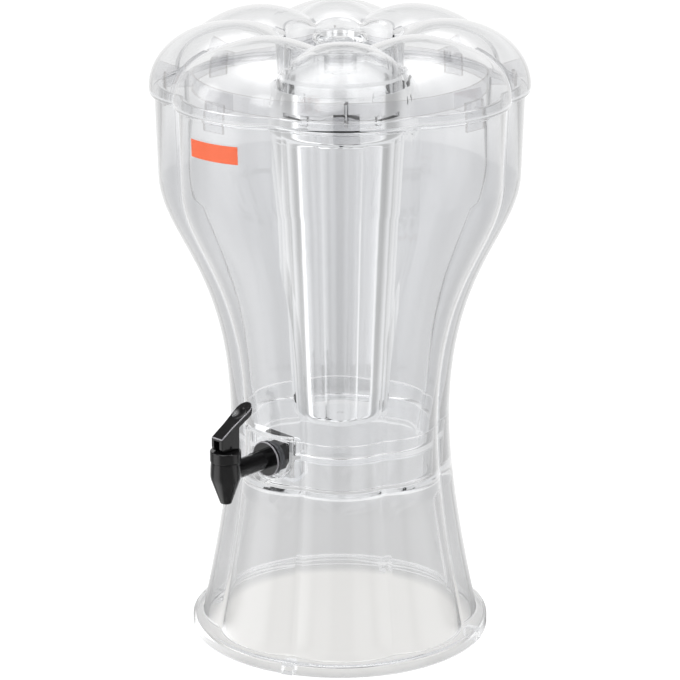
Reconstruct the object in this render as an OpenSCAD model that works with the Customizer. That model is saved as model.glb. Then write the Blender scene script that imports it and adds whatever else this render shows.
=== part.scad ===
// Clear drink dispenser: a lobed goblet reservoir that stands in a flared pedestal,
// with a petal lid, a twist-on ice core and a self-closing lever tap.
// Millimetres, +Z up, origin at the middle of the foot on the table. The tap points to -Y.

/* [Lobes] */
// Number of lobes round every clear shell
lobes = 8; // [6:1:10]
// Place of each lobe's arc centre, as a share of the shell's radius
lobe_share = 0.44; // [0.36:0.01:0.5]
// Straight steps that draw one lobe
lobe_steps = 8; // [4:2:12]

/* [Pedestal] */
// Radius of the round foot rim
foot_r = 126; // [120:0.5:135]
// Height of the foot rim, over the feet
foot_h = 10.5; // [9:0.5:14]
// Rounding of the foot rim's upper edge
foot_round = 5; // [2:0.5:6]
// Radius of the pedestal wall where it meets the foot
pedestal_r = 117.4; // [112:0.2:119]
// Height of the wall curve's handle over the table
pedestal_handle = 130; // [110:1:140]
// Thickness of the pedestal wall
pedestal_wall = 3.2; // [2.6:0.1:3.6]
// Thickness of the shelf that carries the reservoir
shelf_t = 3.6; // [3:0.1:5]
// Width of the shelf, in from the collar
shelf_w = 5.5; // [4.5:0.1:7]
// Height of the sloped web under the shelf
shelf_web = 4; // [3:0.1:6]

/* [Feet] */
// Width of one foot, along the rim
pad_w = 10; // [8:0.5:14]
// Length of one foot, in from the rim
pad_l = 13; // [9:0.5:15]
// Room round a foot in its notch
pad_gap = 0.1; // [0.05:0.01:0.2]
// How far the feet stand below the rim
pad_proud = 0.8; // [0.4:0.1:1.5]

/* [Reservoir] */
// Height of the joint line between pedestal and reservoir
neck_z = 191; // [186:0.5:196]
// Radius at the joint line
neck_r = 92.4; // [90:0.2:95]
// Upright handle of the neck's curve
neck_handle = 129; // [115:1:140]
// Height where the bowl's curve ends in the upright wall
shoulder_z = 400; // [390:1:410]
// Radius at that height
shoulder_r = 149.5; // [146:0.2:151]
// Upright handle of the shoulder's curve
shoulder_handle = 50.5; // [40:0.5:60]
// Height of the ledge that carries the lid
ledge_z = 467; // [455:0.5:480]
// Radius at that ledge
mouth_r = 151.5; // [150:0.1:153]
// Thickness of the reservoir wall
wall = 3; // [2.6:0.1:3.6]
// Height of the rim that stands inside the lid
rim_h = 9; // [7:0.5:12]
// How far the skirt reaches below the sump
skirt_drop = 3; // [2:0.1:6]
// Rounding between the floor and the wall, inside
floor_round = 3; // [2:0.1:4]
// Height of the sloped web under the ledge
ledge_web = 4; // [3:0.1:8]
// Height of the floor's upper face below the joint line
floor_drop = 14; // [12:0.5:16]
// Room between the skirt and the pedestal's collar
skirt_gap = 0.4; // [0.3:0.05:0.6]

/* [Tap seat] */
// Height of the tap's axis below the joint line
tap_drop = 20; // [19:0.5:21]
// How far the flat face of the tap seat is set in from the joint line's radius
seat_set = 7.4; // [6:0.1:8.4]
// Thickness of the seat
seat_t = 5; // [4:0.1:6]
// Width of the seat, which is round at its bottom
seat_w = 47; // [42:0.5:50]
// Height of the seat's lowest point over the skirt's edge
seat_rise = 1.5; // [1.2:0.1:2.5]
// Room round the seat in the pedestal's notch
seat_gap = 0.5; // [0.3:0.05:1]
// Depth of the sump below the tap's axis
sump_drop = 14; // [13.5:0.1:15]
// Reach of the sump towards the dispenser's axis
sump_reach = 28; // [26:0.5:32]

/* [Lid] */
// Greatest radius of the lid
lid_r = 156; // [155:0.1:158]
// Height of the petals over the reservoir's ledge
lid_h = 58; // [52:0.5:64]
// Radius at which the petals are highest
crest_r = 85; // [80:0.5:90]
// Height of the lid's widest line over its lower edge
lip_h = 4.5; // [4:0.1:6]
// Rounding of the lid's lower edge
lip_round = 3; // [2:0.1:3.4]
// Depth of the valleys between the petals
valley = 9; // [6:0.1:11]
// Thickness of the lid's wall
lid_wall = 2.6; // [2.2:0.1:3]
// Room between the lid and the reservoir
lid_gap = 0.4; // [0.3:0.05:0.6]
// Radius of the finger well at its rim
well_r = 51; // [49:0.2:53]
// Height of the well's rim below the crest
well_drop = 8; // [6:0.1:10]
// Depth of the well below the crest
well_depth = 41; // [36:0.5:46]
// Thickness of the well's floor
well_floor = 3.4; // [3:0.1:5]
// Radius of the round stiffening ring under the lid
ring_r = 122; // [116:0.5:126]
// Height of the stiffening ring
ring_h = 14; // [10:0.5:18]
// Height of the ring's lower edge over the lid's lower edge
ring_rise = 4; // [3:0.1:6]
// Height of the fins where they meet the skirt
fin_h = 16; // [10:0.5:20]
// Height of the fins over the reservoir's rim
rim_room = 1.4; // [1:0.1:2.5]
// Thickness of the ring, the fins and the tabs
rib_t = 2.2; // [1.8:0.1:2.8]
// Width of the tabs that centre the lid in the reservoir
tab_w = 20; // [14:0.5:24]
// How far the tabs reach below the lid's edge
tab_drop = 8.5; // [6:0.5:12]
// Room between the tabs and the reservoir's rim
tab_gap = 1.6; // [1:0.1:2.5]

/* [Knob] */
// Radius of the knob's head
knob_r = 22.5; // [20:0.5:25]
// Thickness of the knob's head
knob_head = 8; // [6:0.5:10]
// Depth of the knob's top below the crest
knob_drop = 10; // [8:0.5:13]
// Rounding of the knob's edges
knob_edge = 2.4; // [1.5:0.1:3]
// Radius of the scallops round the knob
scallop_r = 9; // [7:0.5:12]
// Depth of the scallops
scallop_depth = 1.7; // [1:0.1:2]
// Radius of the knob's stem under the head
knob_stem = 16; // [13:0.5:17.5]
// Radius of the peg that holds the knob in the lid
knob_peg = 6; // [5:0.25:7]

/* [Ice core] */
// Height of the core's underside over the reservoir's floor
core_clear = 9.5; // [7:0.5:12]
// Radius of the core at its foot
core_foot_r = 39.6; // [36:0.2:42]
// Radius of the core below its head
core_r = 52; // [49:0.2:53]
// Thickness of the core's wall
core_wall = 2.5; // [2.2:0.1:3]
// Height of the head's shoulder below the reservoir's ledge
head_drop = 34; // [30:0.5:40]
// Height of the head
head_h = 41; // [36:0.5:44]
// Rounding of the core's foot
core_round = 4; // [3:0.1:6]
// Radial room between the head and the lid's spigot
head_gap = 3.6; // [3.2:0.1:4]
// Height of the spigot's end over the head's shoulder
spigot_rise = 13; // [10:0.5:15]
// Thickness of the lid's spigot
spigot_t = 2.4; // [2.2:0.1:3]
// Number of bayonet lugs
lugs = 4; // [3:1:4]
// Width of each lug, in degrees
lug_arc = 28; // [20:1:32]
// Height of each lug
lug_h = 4; // [3:0.1:5]
// Height of the lugs over the spigot's end
lug_rise = 2; // [1:0.1:4]
// Radial room at the lugs' ends
lug_gap = 0.4; // [0.3:0.05:0.6]

/* [Tap] */
// Reach of the spout's axis from the tap seat
spout_reach = 51.5; // [48:0.5:56]
// Radius of the spout at its widest
spout_r = 12.6; // [12:0.1:13.5]
// Radius of the spout's tip
tip_r = 4.7; // [4.3:0.1:6]
// Length of the spout below the tap's axis
tip_drop = 25.4; // [22:0.2:30]
// Height of the spout's neck joint over the tap's axis
joint_rise = 11.3; // [10.5:0.1:13]
// Height of the spout's widest line over the tap's axis
wide_rise = 1.5; // [1:0.1:3]
// Depth of the spout's cone below the tap's axis
cone_drop = 5; // [4:0.1:7]
// How far the spout's widest line stands out
bulge = 0.6; // [0.3:0.05:1]
// Rounding of the tap's edges
tap_edge = 0.5; // [0.3:0.05:0.6]
// Radius of the outlet bore
outlet_r = 3.2; // [2.6:0.1:3.4]
// Radius of the valve chamber
chamber_r = 8.4; // [7.8:0.1:8.8]
// Radius of the stem and of the shank
shank_r = 8; // [7.2:0.1:8.4]
// Radius of the waterway
water_r = 4.6; // [4:0.1:5]
// Length of the shank behind the flange
shank_len = 24; // [22:0.5:28]
// Radius of the flange and of the washers
flange_r = 15; // [13.5:0.1:16]
// Thickness of the flange
flange_t = 3; // [2.5:0.1:4]
// Length of the stem's stiffening ribs
stem_rib_l = 14; // [10:0.5:16]
// Width of the stem's ribs
stem_rib_w = 1.2; // [0.8:0.1:1.6]
// How far the stem's ribs stand out
stem_rib_h = 0.7; // [0.4:0.1:1.2]
// Thickness of the outer washer
washer_t = 2.5; // [2:0.1:3.5]
// How far the outer washer stays inside the flange's edge
washer_set = 0.4; // [0.2:0.1:1]
// Thickness of the inner washer
inner_washer_t = 2.5; // [2:0.1:3]
// How far the inner washer stays inside the flange's edge
inner_washer_set = 2.4; // [1.6:0.1:3]
// Width of the lock nut across its flats
nut_af = 22; // [21:0.5:24]
// Thickness of the lock nut
nut_t = 7; // [6:0.5:8]
// Room in the holes for the shank
shank_gap = 0.3; // [0.2:0.05:0.5]

/* [Bonnet and valve] */
// Radius of the bonnet
bonnet_r = 12.8; // [12.6:0.1:13.6]
// Height of the bonnet
bonnet_h = 9; // [8.5:0.1:11]
// Thickness of the bonnet's top
bonnet_top = 3.6; // [3:0.1:4.5]
// Thickness of the bonnet's wall
bonnet_wall = 2.3; // [2:0.1:2.6]
// Bevel of the bonnet's edges
bonnet_edge = 0.9; // [0.5:0.1:1.2]
// Thickness of the rubber seal under the bonnet
seal_t = 1.5; // [1.2:0.1:1.8]
// Running room round rods and pins
running = 0.05; // [0.02:0.01:0.1]
// Radius of the plunger's rod
rod_r = 2.8; // [2.4:0.1:2.9]
// Radius of the plunger's spring collar
collar_r = 6.6; // [6:0.1:7]
// Thickness of the spring collar
collar_t = 2; // [1.5:0.1:2.4]
// Height of the spring collar over the tap's axis
collar_rise = 4.5; // [4:0.1:5]
// Depth of the valve seat below the tap's axis
seat_drop = 8.5; // [8:0.1:9]
// Length of the rod over the pin
rod_over = 1.4; // [1:0.1:1.8]
// Diameter of the spring wire
spring_wire = 0.9; // [0.7:0.05:1]
// Number of turns in the spring
spring_turns = 4; // [3:1:4]
// Radial room between the spring and the rod
spring_room = 0.7; // [0.5:0.05:1]
// Radius of the plunger's end, inside the seat cup
cup_hold_r = 2.2; // [2:0.1:2.4]
// Thickness of the seat cup's end
cup_end = 3; // [2.5:0.1:3.5]
// How far the cup's blunt tip stands out past the outlet's edge
cup_tip = 0.6; // [0.4:0.05:0.8]
// Radius of the seat cup's sealing cone at its top
cup_r = 5.4; // [5:0.1:6]

/* [Lever] */
// Width of the lever's hub
hub_w = 12.2; // [11.5:0.1:14]
// Length of the hub, along the tap
hub_l = 20; // [19:0.1:22]
// Height of the hub at its front
hub_h = 12.4; // [11:0.1:14]
// Width of the fork's slot
fork_w = 6.3; // [6.2:0.1:7]
// Radius of the hub's front corner, which rolls on the bonnet
cam_r = 5; // [4.6:0.1:5.4]
// How far the lever turns, in degrees
lever_turn = 40; // [35:1:42]
// Height of the fork's slot over the pin's top
fork_over = 5.8; // [5:0.1:6.2]
// Radius of the lever's pin
pin_r = 1.3; // [1.1:0.05:1.4]
// Slope of the paddle, in degrees
paddle_slope = 30; // [24:1:34]
// Length of the paddle from the hub's front
paddle_l = 44; // [38:0.5:48]
// Width of the paddle near its tip
paddle_w = 15; // [13:0.1:17]
// Thickness of the paddle
paddle_t = 5; // [4:0.1:6]
// Length of the hub's back part, over which the paddle starts to widen
paddle_taper = 6; // [4:0.5:8]
// Distance of the thumb dimple from the paddle's tip
dimple_y = 13.8; // [12:0.1:18]
// Radius of the thumb dimple's hollow
dimple_r = 16.5; // [14:0.5:20]
// Depth of the thumb dimple
dimple_depth = 1.2; // [0.8:0.1:1.4]
// How far the pin's ends lie inside the hub's sides
pin_set = 0.3; // [0.1:0.05:0.5]

/* [Hidden] */
$fn = 64;

clear = [0.85, 0.88, 0.9, 0.45];
black = [0.12, 0.12, 0.13];
soft_black = [0.2, 0.2, 0.21];
half_lobe = 180 / lobes;
// The feet are separate pieces, one by one
feet = 4;
// Extra length that carries a cut past a face
past = 1;
// Overlap that joins two forms of one piece
bite = 0.6;
// Play between faces that rest on each other but belong to parts that move apart
rest_gap = 0.15;

// Heights and radii that follow from the sizes above
rim_z = pad_proud + foot_h;
flange_z = rim_z - pedestal_wall;
skirt_r = neck_r - pedestal_wall - skirt_gap;
floor_z = neck_z - floor_drop;
mouth_z = ledge_z + rim_h;
rim_r = mouth_r - wall;
tap_z = neck_z - tap_drop;
sump_z = tap_z - sump_drop;
skirt_z = sump_z - wall - skirt_drop;
seat_y = neck_r - seat_set;
seat_in = seat_y - seat_t;
seat_low = skirt_z + seat_rise;
lid_z = ledge_z + lid_gap;
lip_z = lid_z + lip_h;
crest_z = ledge_z + lid_h;
lip_in = rim_r + 2 * lid_gap;
well_z = crest_z - well_depth;
spigot_in = well_r - spigot_t;
core_z = floor_z + core_clear;
shoulder_core_z = ledge_z - head_drop;
head_top = shoulder_core_z + head_h;
head_in = well_r + head_gap;
head_out = head_in + core_wall;
spigot_z = shoulder_core_z + spigot_rise;
lug_z = spigot_z + lug_rise;
spout_y = seat_y + spout_reach;
joint_z = tap_z + joint_rise;
bonnet_z = joint_z + bonnet_h;
seat_z = tap_z - seat_drop;
collar_z = tap_z + collar_rise;
collar_top = collar_z + collar_t;
bonnet_under = bonnet_z - bonnet_top;
spring_top = bonnet_under - seal_t;
// The lever's cam: its centre swings evenly about the pin's level, so the lift is steady
cam_y = hub_l / 2 - cam_r;
cam_rise = cam_y * tan(lever_turn / 2);
hub_z = bonnet_z + rest_gap;
pin_z = hub_z + cam_r - cam_rise;
lift = 2 * cam_rise;
echo(lift = lift, pin_z = pin_z, spring_top = spring_top, lift_per_degree = lift / lever_turn);

// Half the angle that one lobe takes, folded to its middle
function fold(a) = abs(a - 2 * half_lobe * round(a / (2 * half_lobe)));
// Radius of the lobed outline at an angle from the tap, where its outermost radius is 1
function outline(a) = let (f = fold(a))
    lobe_share * cos(f) + sqrt(pow(1 - lobe_share, 2) - pow(lobe_share * sin(f), 2));
// 0 at the middle of a lobe and 1 in the groove
function groove(a) = (1 - outline(a)) / (1 - outline(half_lobe));
// Points of cubic and square curves, from their ends and handles
function cubic(a, b, c, d, t) =
    a * pow(1 - t, 3) + 3 * b * t * pow(1 - t, 2) + 3 * c * t * t * (1 - t) + d * pow(t, 3);
function square_curve(a, b, c, t) = a * pow(1 - t, 2) + 2 * b * t * (1 - t) + c * t * t;

// A section's point moved in towards the axis
function inset(p, w) = [p[0] - w, p[1], p[2], p[3]];

// Angles of the points on every lobed ring, which start at the tap
ring_n = lobes * lobe_steps;
function ring_angle(j) = j * 360 / ring_n;
// One ring of a lobed shell: p is [radius, height, share of the lobing, drop in the grooves]
function ring_point(p, j) = let (
    a = ring_angle(j),
    r = p[0] * (1 - p[2] * (1 - outline(a))))
    [r * sin(a), -r * cos(a), p[1] - p[3] * groove(a)];

// A closed shell whose section p goes round the material and never meets the axis
module lobed_ring(p) {
    n = len(p);
    points = [for (q = p) for (j = [0:ring_n - 1]) ring_point(q, j)];
    function at(i, j) = (i % n) * ring_n + j % ring_n;
    faces = [for (i = [0:n - 1]) for (j = [0:ring_n - 1])
        each [[at(i, j), at(i + 1, j), at(i, j + 1)],
              [at(i + 1, j), at(i + 1, j + 1), at(i, j + 1)]]];
    polyhedron(points = points, faces = faces, convexity = 8);
}

// A cup whose section p starts and ends on the axis, at heights low and high
module lobed_cup(p, low, high) {
    n = len(p);
    points = concat([for (q = p) for (j = [0:ring_n - 1]) ring_point(q, j)],
                    [[0, 0, low], [0, 0, high]]);
    function at(i, j) = i * ring_n + j % ring_n;
    first = n * ring_n;
    sides = [for (i = [0:n - 2]) for (j = [0:ring_n - 1])
        each [[at(i, j), at(i + 1, j), at(i, j + 1)],
              [at(i + 1, j), at(i + 1, j + 1), at(i, j + 1)]]];
    ends = [for (j = [0:ring_n - 1])
        each [[first, at(0, j), at(0, j + 1)],
              [first + 1, at(n - 1, j + 1), at(n - 1, j)]]];
    polyhedron(points = points, faces = concat(sides, ends), convexity = 8);
}

// Lays a form that stands on the XY plane so that its height runs out along the tap, from y
module along_tap(y) {
    translate([0, -y, tap_z]) rotate([90, 0, 0]) children();
}

// The seat's outline across the tap, grown all round: round below, straight up to the top
module seat_outline(grow, top) {
    r = seat_w / 2 + grow;
    middle = seat_low + seat_w / 2 - tap_z;
    // Only the lower half is round, whatever the height of the top
    intersection() {
        translate([0, middle]) circle(r = r);
        translate([-r, middle - r]) square([2 * r, r + bite]);
    }
    translate([-r, middle]) square([2 * r, top - tap_z - middle]);
}

// Pedestal
pedestal_steps = 7;
function pedestal_outer(t) = [square_curve(pedestal_r, neck_r, neck_r, t),
                              square_curve(rim_z, pedestal_handle, neck_z, t), 1, 0];

// The foot is a round channel below the lobed wall, and the shelf stands at the collar's bottom
module pedestal_shell() {
    round_steps = 4;
    rim = [for (i = [0:round_steps]) let (a = i * 90 / round_steps)
        [foot_r + foot_round * (cos(a) - 1), rim_z + foot_round * (sin(a) - 1), 0, 0]];
    outer = [for (i = [0:pedestal_steps]) pedestal_outer(i / pedestal_steps)];
    // The inner wall follows the outer one up to the shelf
    low = [for (p = outer) if (p[1] < skirt_z - shelf_t - 2 * shelf_web) inset(p, pedestal_wall)];
    collar_in = skirt_r + skirt_gap;
    shelf_in = collar_in - shelf_w;
    top = [[collar_in, neck_z, 1, 0], [collar_in, skirt_z, 1, 0], [shelf_in, skirt_z, 1, 0],
           [shelf_in, skirt_z - shelf_t, 1, 0],
           [collar_in + bite, skirt_z - shelf_t - shelf_web, 1, 0]];
    rim_in = foot_r - pedestal_wall;
    lobed_ring(concat(
        [[rim_in, pad_proud, 0, 0], [foot_r, pad_proud, 0, 0]], rim, outer, top,
        [for (i = [len(low) - 1:-1:1]) low[i]],
        [[pedestal_r - pedestal_wall, flange_z, 1, 0], [rim_in, flange_z, 0, 0]]));
}

function foot_angle(i) = -90 + half_lobe + i * 360 / feet;

module foot_block(w, inner, low, high, outer) {
    translate([inner, -w / 2, low]) cube([outer - inner, w, high - low]);
}

module base_pedestal() {
    color(clear) difference() {
        pedestal_shell();
        // Notch for the tap's seat, open at the top of the collar
        along_tap(seat_in - shelf_w) linear_extrude(foot_r) seat_outline(seat_gap, neck_z + past);
        for (i = [0:feet - 1]) rotate(foot_angle(i))
            foot_block(pad_w + 2 * pad_gap, foot_r - pedestal_wall - past, 0, flange_z + pad_gap,
                       foot_r + past);
    }
}

// Soft clear feet, pressed up into the rim's channel
module base_foot(i) {
    color(clear) rotate(foot_angle(i)) intersection() {
        foot_block(pad_w, foot_r - pad_l, 0, flange_z, foot_r + past);
        cylinder(r = foot_r, h = flange_z, $fn = 128);
    }
}

// Reservoir
bowl_steps = 9;
function bowl(t) = [cubic(neck_r, neck_r, shoulder_r, shoulder_r, t),
                    cubic(neck_z, neck_z + neck_handle, shoulder_z - shoulder_handle, shoulder_z, t), 1, 0];

module reservoir_shell() {
    skirt_in = skirt_r - wall;
    outer = [for (i = [0:bowl_steps]) bowl(i / bowl_steps)];
    under = floor_z - wall;
    lobed_cup(concat(
        [[skirt_in, under, 1, 0], [skirt_in, skirt_z + rest_gap, 1, 0], [skirt_r, skirt_z + rest_gap, 1, 0],
         [skirt_r, neck_z + rest_gap, 1, 0]],
        [[neck_r, neck_z + rest_gap, 1, 0]],
        [for (i = [1:bowl_steps]) outer[i]],
        [[mouth_r, ledge_z, 1, 0], [rim_r, ledge_z, 1, 0], [rim_r, mouth_z, 1, 0],
         [rim_r - wall, mouth_z, 1, 0], [rim_r - wall, ledge_z - ledge_web, 1, 0]],
        [for (i = [bowl_steps:-1:1]) inset(outer[i], wall)],
        [[neck_r - wall - bite, neck_z + 2 * floor_round, 1, 0],
         [skirt_in - bite, floor_z + floor_round, 1, 0],
         [skirt_in - bite - floor_round, floor_z, 1, 0]]),
        under, floor_z);
}

// The sump is a box below the floor at the tap, round at its inner end
module sump_box(grow, low, high, outer) {
    r = seat_w / 2 - wall + grow;
    y = seat_in - sump_reach + seat_w / 2 - wall;
    translate([0, 0, low]) linear_extrude(high - low) intersection() {
        union() {
            translate([0, -y]) circle(r = r);
            translate([-r, -outer]) square([2 * r, outer - y]);
        }
        // Nothing of the round end reaches past the outer end
        translate([-r, -outer]) square([2 * r, outer]);
    }
}

module reservoir() {
    color(clear) difference() {
        union() {
            reservoir_shell();
            along_tap(seat_in - wall) linear_extrude(seat_t + wall) seat_outline(0, neck_z - bite);
            // A roof over the seat joins its plate to the bowl's wall
            along_tap(seat_in) linear_extrude(neck_r - wall - seat_in)
                translate([-seat_w / 2, neck_z - 2 * bite - tap_z]) square([seat_w, 2 * bite + rest_gap + wall]);
            sump_box(wall, sump_z - wall, floor_z - bite, seat_in);
        }
        sump_box(0, sump_z, neck_z, seat_in);
        along_tap(seat_in - past) cylinder(r = shank_r + shank_gap, h = shank_len);
        // The seat's face is flat, across the lobe's bulge
        along_tap(seat_y) linear_extrude(foot_r) seat_outline(0, neck_z + rest_gap);
    }
}

// Tap
module tap_body() {
    flange_y = seat_y + washer_t;
    color(black) difference() {
        union() {
            // Spout: round above, a straight cone below, with a neck for the bonnet
            translate([0, -spout_y, 0]) rotate_extrude() spout_section();
            along_tap(flange_y - shank_len) cylinder(r = shank_r, h = spout_y - flange_y + shank_len);
            along_tap(flange_y) cylinder(r = flange_r, h = flange_t);
            // Short ribs that stiffen the stem in front of the flange
            along_tap(flange_y + flange_t - bite) for (a = [-40, 0, 40])
                rotate(a) translate([-stem_rib_w / 2, 0, 0])
                    cube([stem_rib_w, shank_r + stem_rib_h, stem_rib_l + bite]);
        }
        translate([0, -spout_y, seat_z]) cylinder(r = chamber_r, h = bonnet_z);
        translate([0, -spout_y, tap_z - tip_drop - past]) cylinder(r = outlet_r, h = tip_drop);
        translate([0, -spout_y, seat_z - cup_r + outlet_r])
            cylinder(r1 = outlet_r, r2 = cup_r, h = cup_r - outlet_r);
        along_tap(flange_y - shank_len - past)
            cylinder(r = water_r, h = spout_y - flange_y + shank_len + past);
    }
}

neck_in_r = bonnet_r - bonnet_wall;
// The spout's outline, as half a section
module spout_section() {
    steps = 6;
    tip_z = tap_z - tip_drop;
    cone = tap_z - cone_drop;
    wide = tap_z + wide_rise;
    end_r = spout_r - bulge;
    neck_r_out = neck_in_r - running;
    neck_top = spring_top - running;
    round_up = [for (i = [0:steps]) let (t = i / steps)
        [square_curve(end_r, spout_r + bulge / 2, spout_r, t),
         square_curve(cone, (cone + wide) / 2, wide, t)]];
    round_top = [for (i = [1:steps]) let (t = i / steps)
        [square_curve(spout_r, spout_r, end_r, t),
         square_curve(wide, (wide + joint_z) / 2, joint_z - tap_edge, t)]];
    polygon(concat([[0, tip_z], [tip_r - tap_edge, tip_z], [tip_r, tip_z + tap_edge]],
        round_up, round_top,
        [[end_r - tap_edge, joint_z], [neck_r_out, joint_z], [neck_r_out, neck_top], [0, neck_top]]));
}

// Screw cap over the spout's neck, with the rod's guide hole
module tap_bonnet() {
    edge = bonnet_edge;
    color(black) translate([0, -spout_y, 0]) difference() {
        rotate_extrude() polygon([[0, joint_z], [bonnet_r - edge, joint_z], [bonnet_r, joint_z + edge],
            [bonnet_r, bonnet_z - edge], [bonnet_r - edge, bonnet_z], [0, bonnet_z]]);
        translate([0, 0, joint_z - past]) cylinder(r = neck_in_r, h = bonnet_under - joint_z + past);
        translate([0, 0, joint_z]) cylinder(r = rod_r + running, h = bonnet_h + past);
    }
}

module washer(r, hole, t) {
    difference() {
        cylinder(r = r, h = t);
        translate([0, 0, -past]) cylinder(r = hole, h = t + 2 * past);
    }
}

module outer_washer() {
    color(soft_black) along_tap(seat_y) washer(flange_r - washer_set, shank_r + running, washer_t);
}

module inner_washer() {
    color(soft_black) along_tap(seat_in - inner_washer_t)
        washer(flange_r - inner_washer_set, shank_r + running, inner_washer_t);
}

module lock_nut() {
    color(black) along_tap(seat_in - inner_washer_t - nut_t) difference() {
        cylinder(d = nut_af / cos(30), h = nut_t, $fn = 6);
        translate([0, 0, -past]) cylinder(r = shank_r + running, h = nut_t + 2 * past);
    }
}

// Rubber disc that closes the neck's top and wipes the rod, clamped by the bonnet
module bonnet_seal() {
    color(soft_black) translate([0, -spout_y, spring_top])
        washer(neck_in_r - running, rod_r + running, seal_t);
}

// Rod, spring collar and cup holder, turned in one piece, with a cross hole for the pin
module valve_plunger() {
    color(soft_black) difference() {
        translate([0, -spout_y, 0]) union() {
            translate([0, 0, seat_z + cup_end])
                cylinder(r = cup_hold_r, h = collar_z - seat_z - cup_end + bite);
            translate([0, 0, collar_z]) cylinder(r = collar_r, h = collar_t);
            translate([0, 0, collar_z]) cylinder(r = rod_r, h = pin_z + pin_r + rod_over - collar_z);
        }
        translate([-hub_w, -spout_y, pin_z]) rotate([0, 90, 0]) cylinder(r = pin_r + running, h = 2 * hub_w);
    }
}

// Silicone cup: a cone that closes the outlet, on the end of the plunger
module seat_cup() {
    tip = outlet_r + cup_tip;
    side = cup_r - rest_gap;
    color([0.75, 0.76, 0.77]) translate([0, -spout_y, seat_z + rest_gap]) difference() {
        union() {
            translate([0, 0, tip - cup_r]) cylinder(r1 = tip - rest_gap, r2 = side, h = cup_r - tip);
            cylinder(r = side, h = collar_z - seat_z - rest_gap);
        }
        translate([0, 0, cup_end - rest_gap]) cylinder(r = cup_hold_r + running, h = collar_z);
    }
}

// Closing spring between the plunger's collar and the bonnet
module valve_spring() {
    sides = 6;
    rings = 10;
    coil_r = rod_r + spring_wire / 2 + spring_room;
    low = collar_top + spring_wire / 2 + running;
    rise = spring_top - collar_top - spring_wire - 2 * running;
    n = spring_turns * rings;
    echo(spring_gap = rise / spring_turns - spring_wire);
    points = [for (i = [0:n]) for (k = [0:sides - 1])
        let (a = i * 360 / rings, b = k * 360 / sides, r = coil_r + spring_wire / 2 * cos(b))
        [r * cos(a), r * sin(a), low + rise * i / n + spring_wire / 2 * sin(b)]];
    function at(i, k) = i * sides + k % sides;
    faces = concat(
        [for (i = [0:n - 1]) for (k = [0:sides - 1])
            each [[at(i, k), at(i, k + 1), at(i + 1, k)], [at(i + 1, k), at(i, k + 1), at(i + 1, k + 1)]]],
        [[for (k = [sides - 1:-1:0]) at(0, k)], [for (k = [0:sides - 1]) at(n, k)]]);
    color("silver") translate([0, -spout_y, 0]) polyhedron(points = points, faces = faces, convexity = 10);
}

// Lever: forked hub with a rounded front corner, and a flat paddle that leans to the reservoir
module hub_side() {
    back = hub_l / 2;
    translate([-cam_y, hub_z + cam_r]) circle(r = cam_r);
    translate([-cam_y, hub_z]) square([cam_y + back, hub_h]);
    translate([-back, hub_z + cam_r]) square([hub_l, hub_h - cam_r]);
}

module paddle_side() {
    top = hub_z + hub_h;
    translate([-hub_l / 2, top]) rotate(paddle_slope)
        translate([0, -paddle_t]) square([paddle_l, paddle_t]);
    // Web that carries the paddle on the hub
    polygon([[-hub_l / 2, hub_z + cam_r], [hub_l / 2, hub_z + cam_r],
             [hub_l / 2, top + hub_l * tan(paddle_slope) - bite], [-hub_l / 2, top]]);
}

module paddle_top() {
    tip = paddle_w / 2;
    reach = paddle_l * cos(paddle_slope) - hub_l / 2;
    translate([0, reach - tip]) circle(r = tip);
    widen = hub_l / 2 - paddle_taper;
    polygon([[-hub_w / 2, -hub_l / 2 - past], [hub_w / 2, -hub_l / 2 - past], [hub_w / 2, widen],
             [tip, reach - tip], [-tip, reach - tip], [-hub_w / 2, widen]]);
}

// Extrudes a side view, drawn as [forward-to-back, height], across the lever's width
module across(w) {
    translate([-w / 2, -spout_y, 0]) rotate([90, 0, 90]) linear_extrude(w) children();
}

module tap_lever() {
    color(black) difference() {
        union() {
            across(hub_w) hub_side();
            intersection() {
                across(paddle_w + past) paddle_side();
                translate([0, -spout_y, hub_z]) linear_extrude(hub_h + paddle_l) paddle_top();
            }
        }
        across(fork_w) translate([-hub_l, hub_z - past])
            square([2 * hub_l, pin_z + pin_r + fork_over - hub_z + past]);
        translate([-hub_w, -spout_y, pin_z]) rotate([0, 90, 0]) cylinder(r = pin_r + running, h = 2 * hub_w);
        // Thumb dimple
        translate([0, -spout_y - hub_l / 2, hub_z + hub_h]) rotate([paddle_slope, 0, 0])
            translate([0, paddle_l - dimple_y, dimple_r - dimple_depth]) sphere(r = dimple_r);
    }
}

module lever_pin() {
    color("silver") translate([-hub_w / 2 + pin_set, -spout_y, pin_z]) rotate([0, 90, 0])
        cylinder(r = pin_r, h = hub_w - 2 * pin_set);
}

// Lid
dome_steps = 7;
// A point on the petals' outer arc; grow is 0 outside and minus the wall inside
function dome(t, grow) = [crest_r + (lid_r - crest_r + grow) * cos(90 * t),
                          lip_z + (crest_z - lip_z + grow) * sin(90 * t), 1, valley * pow(sin(90 * t), 2)];
// Radius of the middle of the petals' wall at a height
function dome_middle(z) = crest_r - lid_wall / 2
    + (lid_r - crest_r) * sqrt(1 - pow((z - lip_z) / (crest_z - lip_z), 2));
// A point on the slope from the crest in to the well, which ends in a small round lip
rim_step = [0.45, 0.8, 1];
well_lip = 1.2;
function slope(t, grow) = [crest_r + (well_r + well_lip - grow - crest_r) * t,
                           crest_z + grow - well_drop * t * t, 1, valley * (1 - 0.55 * t)];

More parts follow.
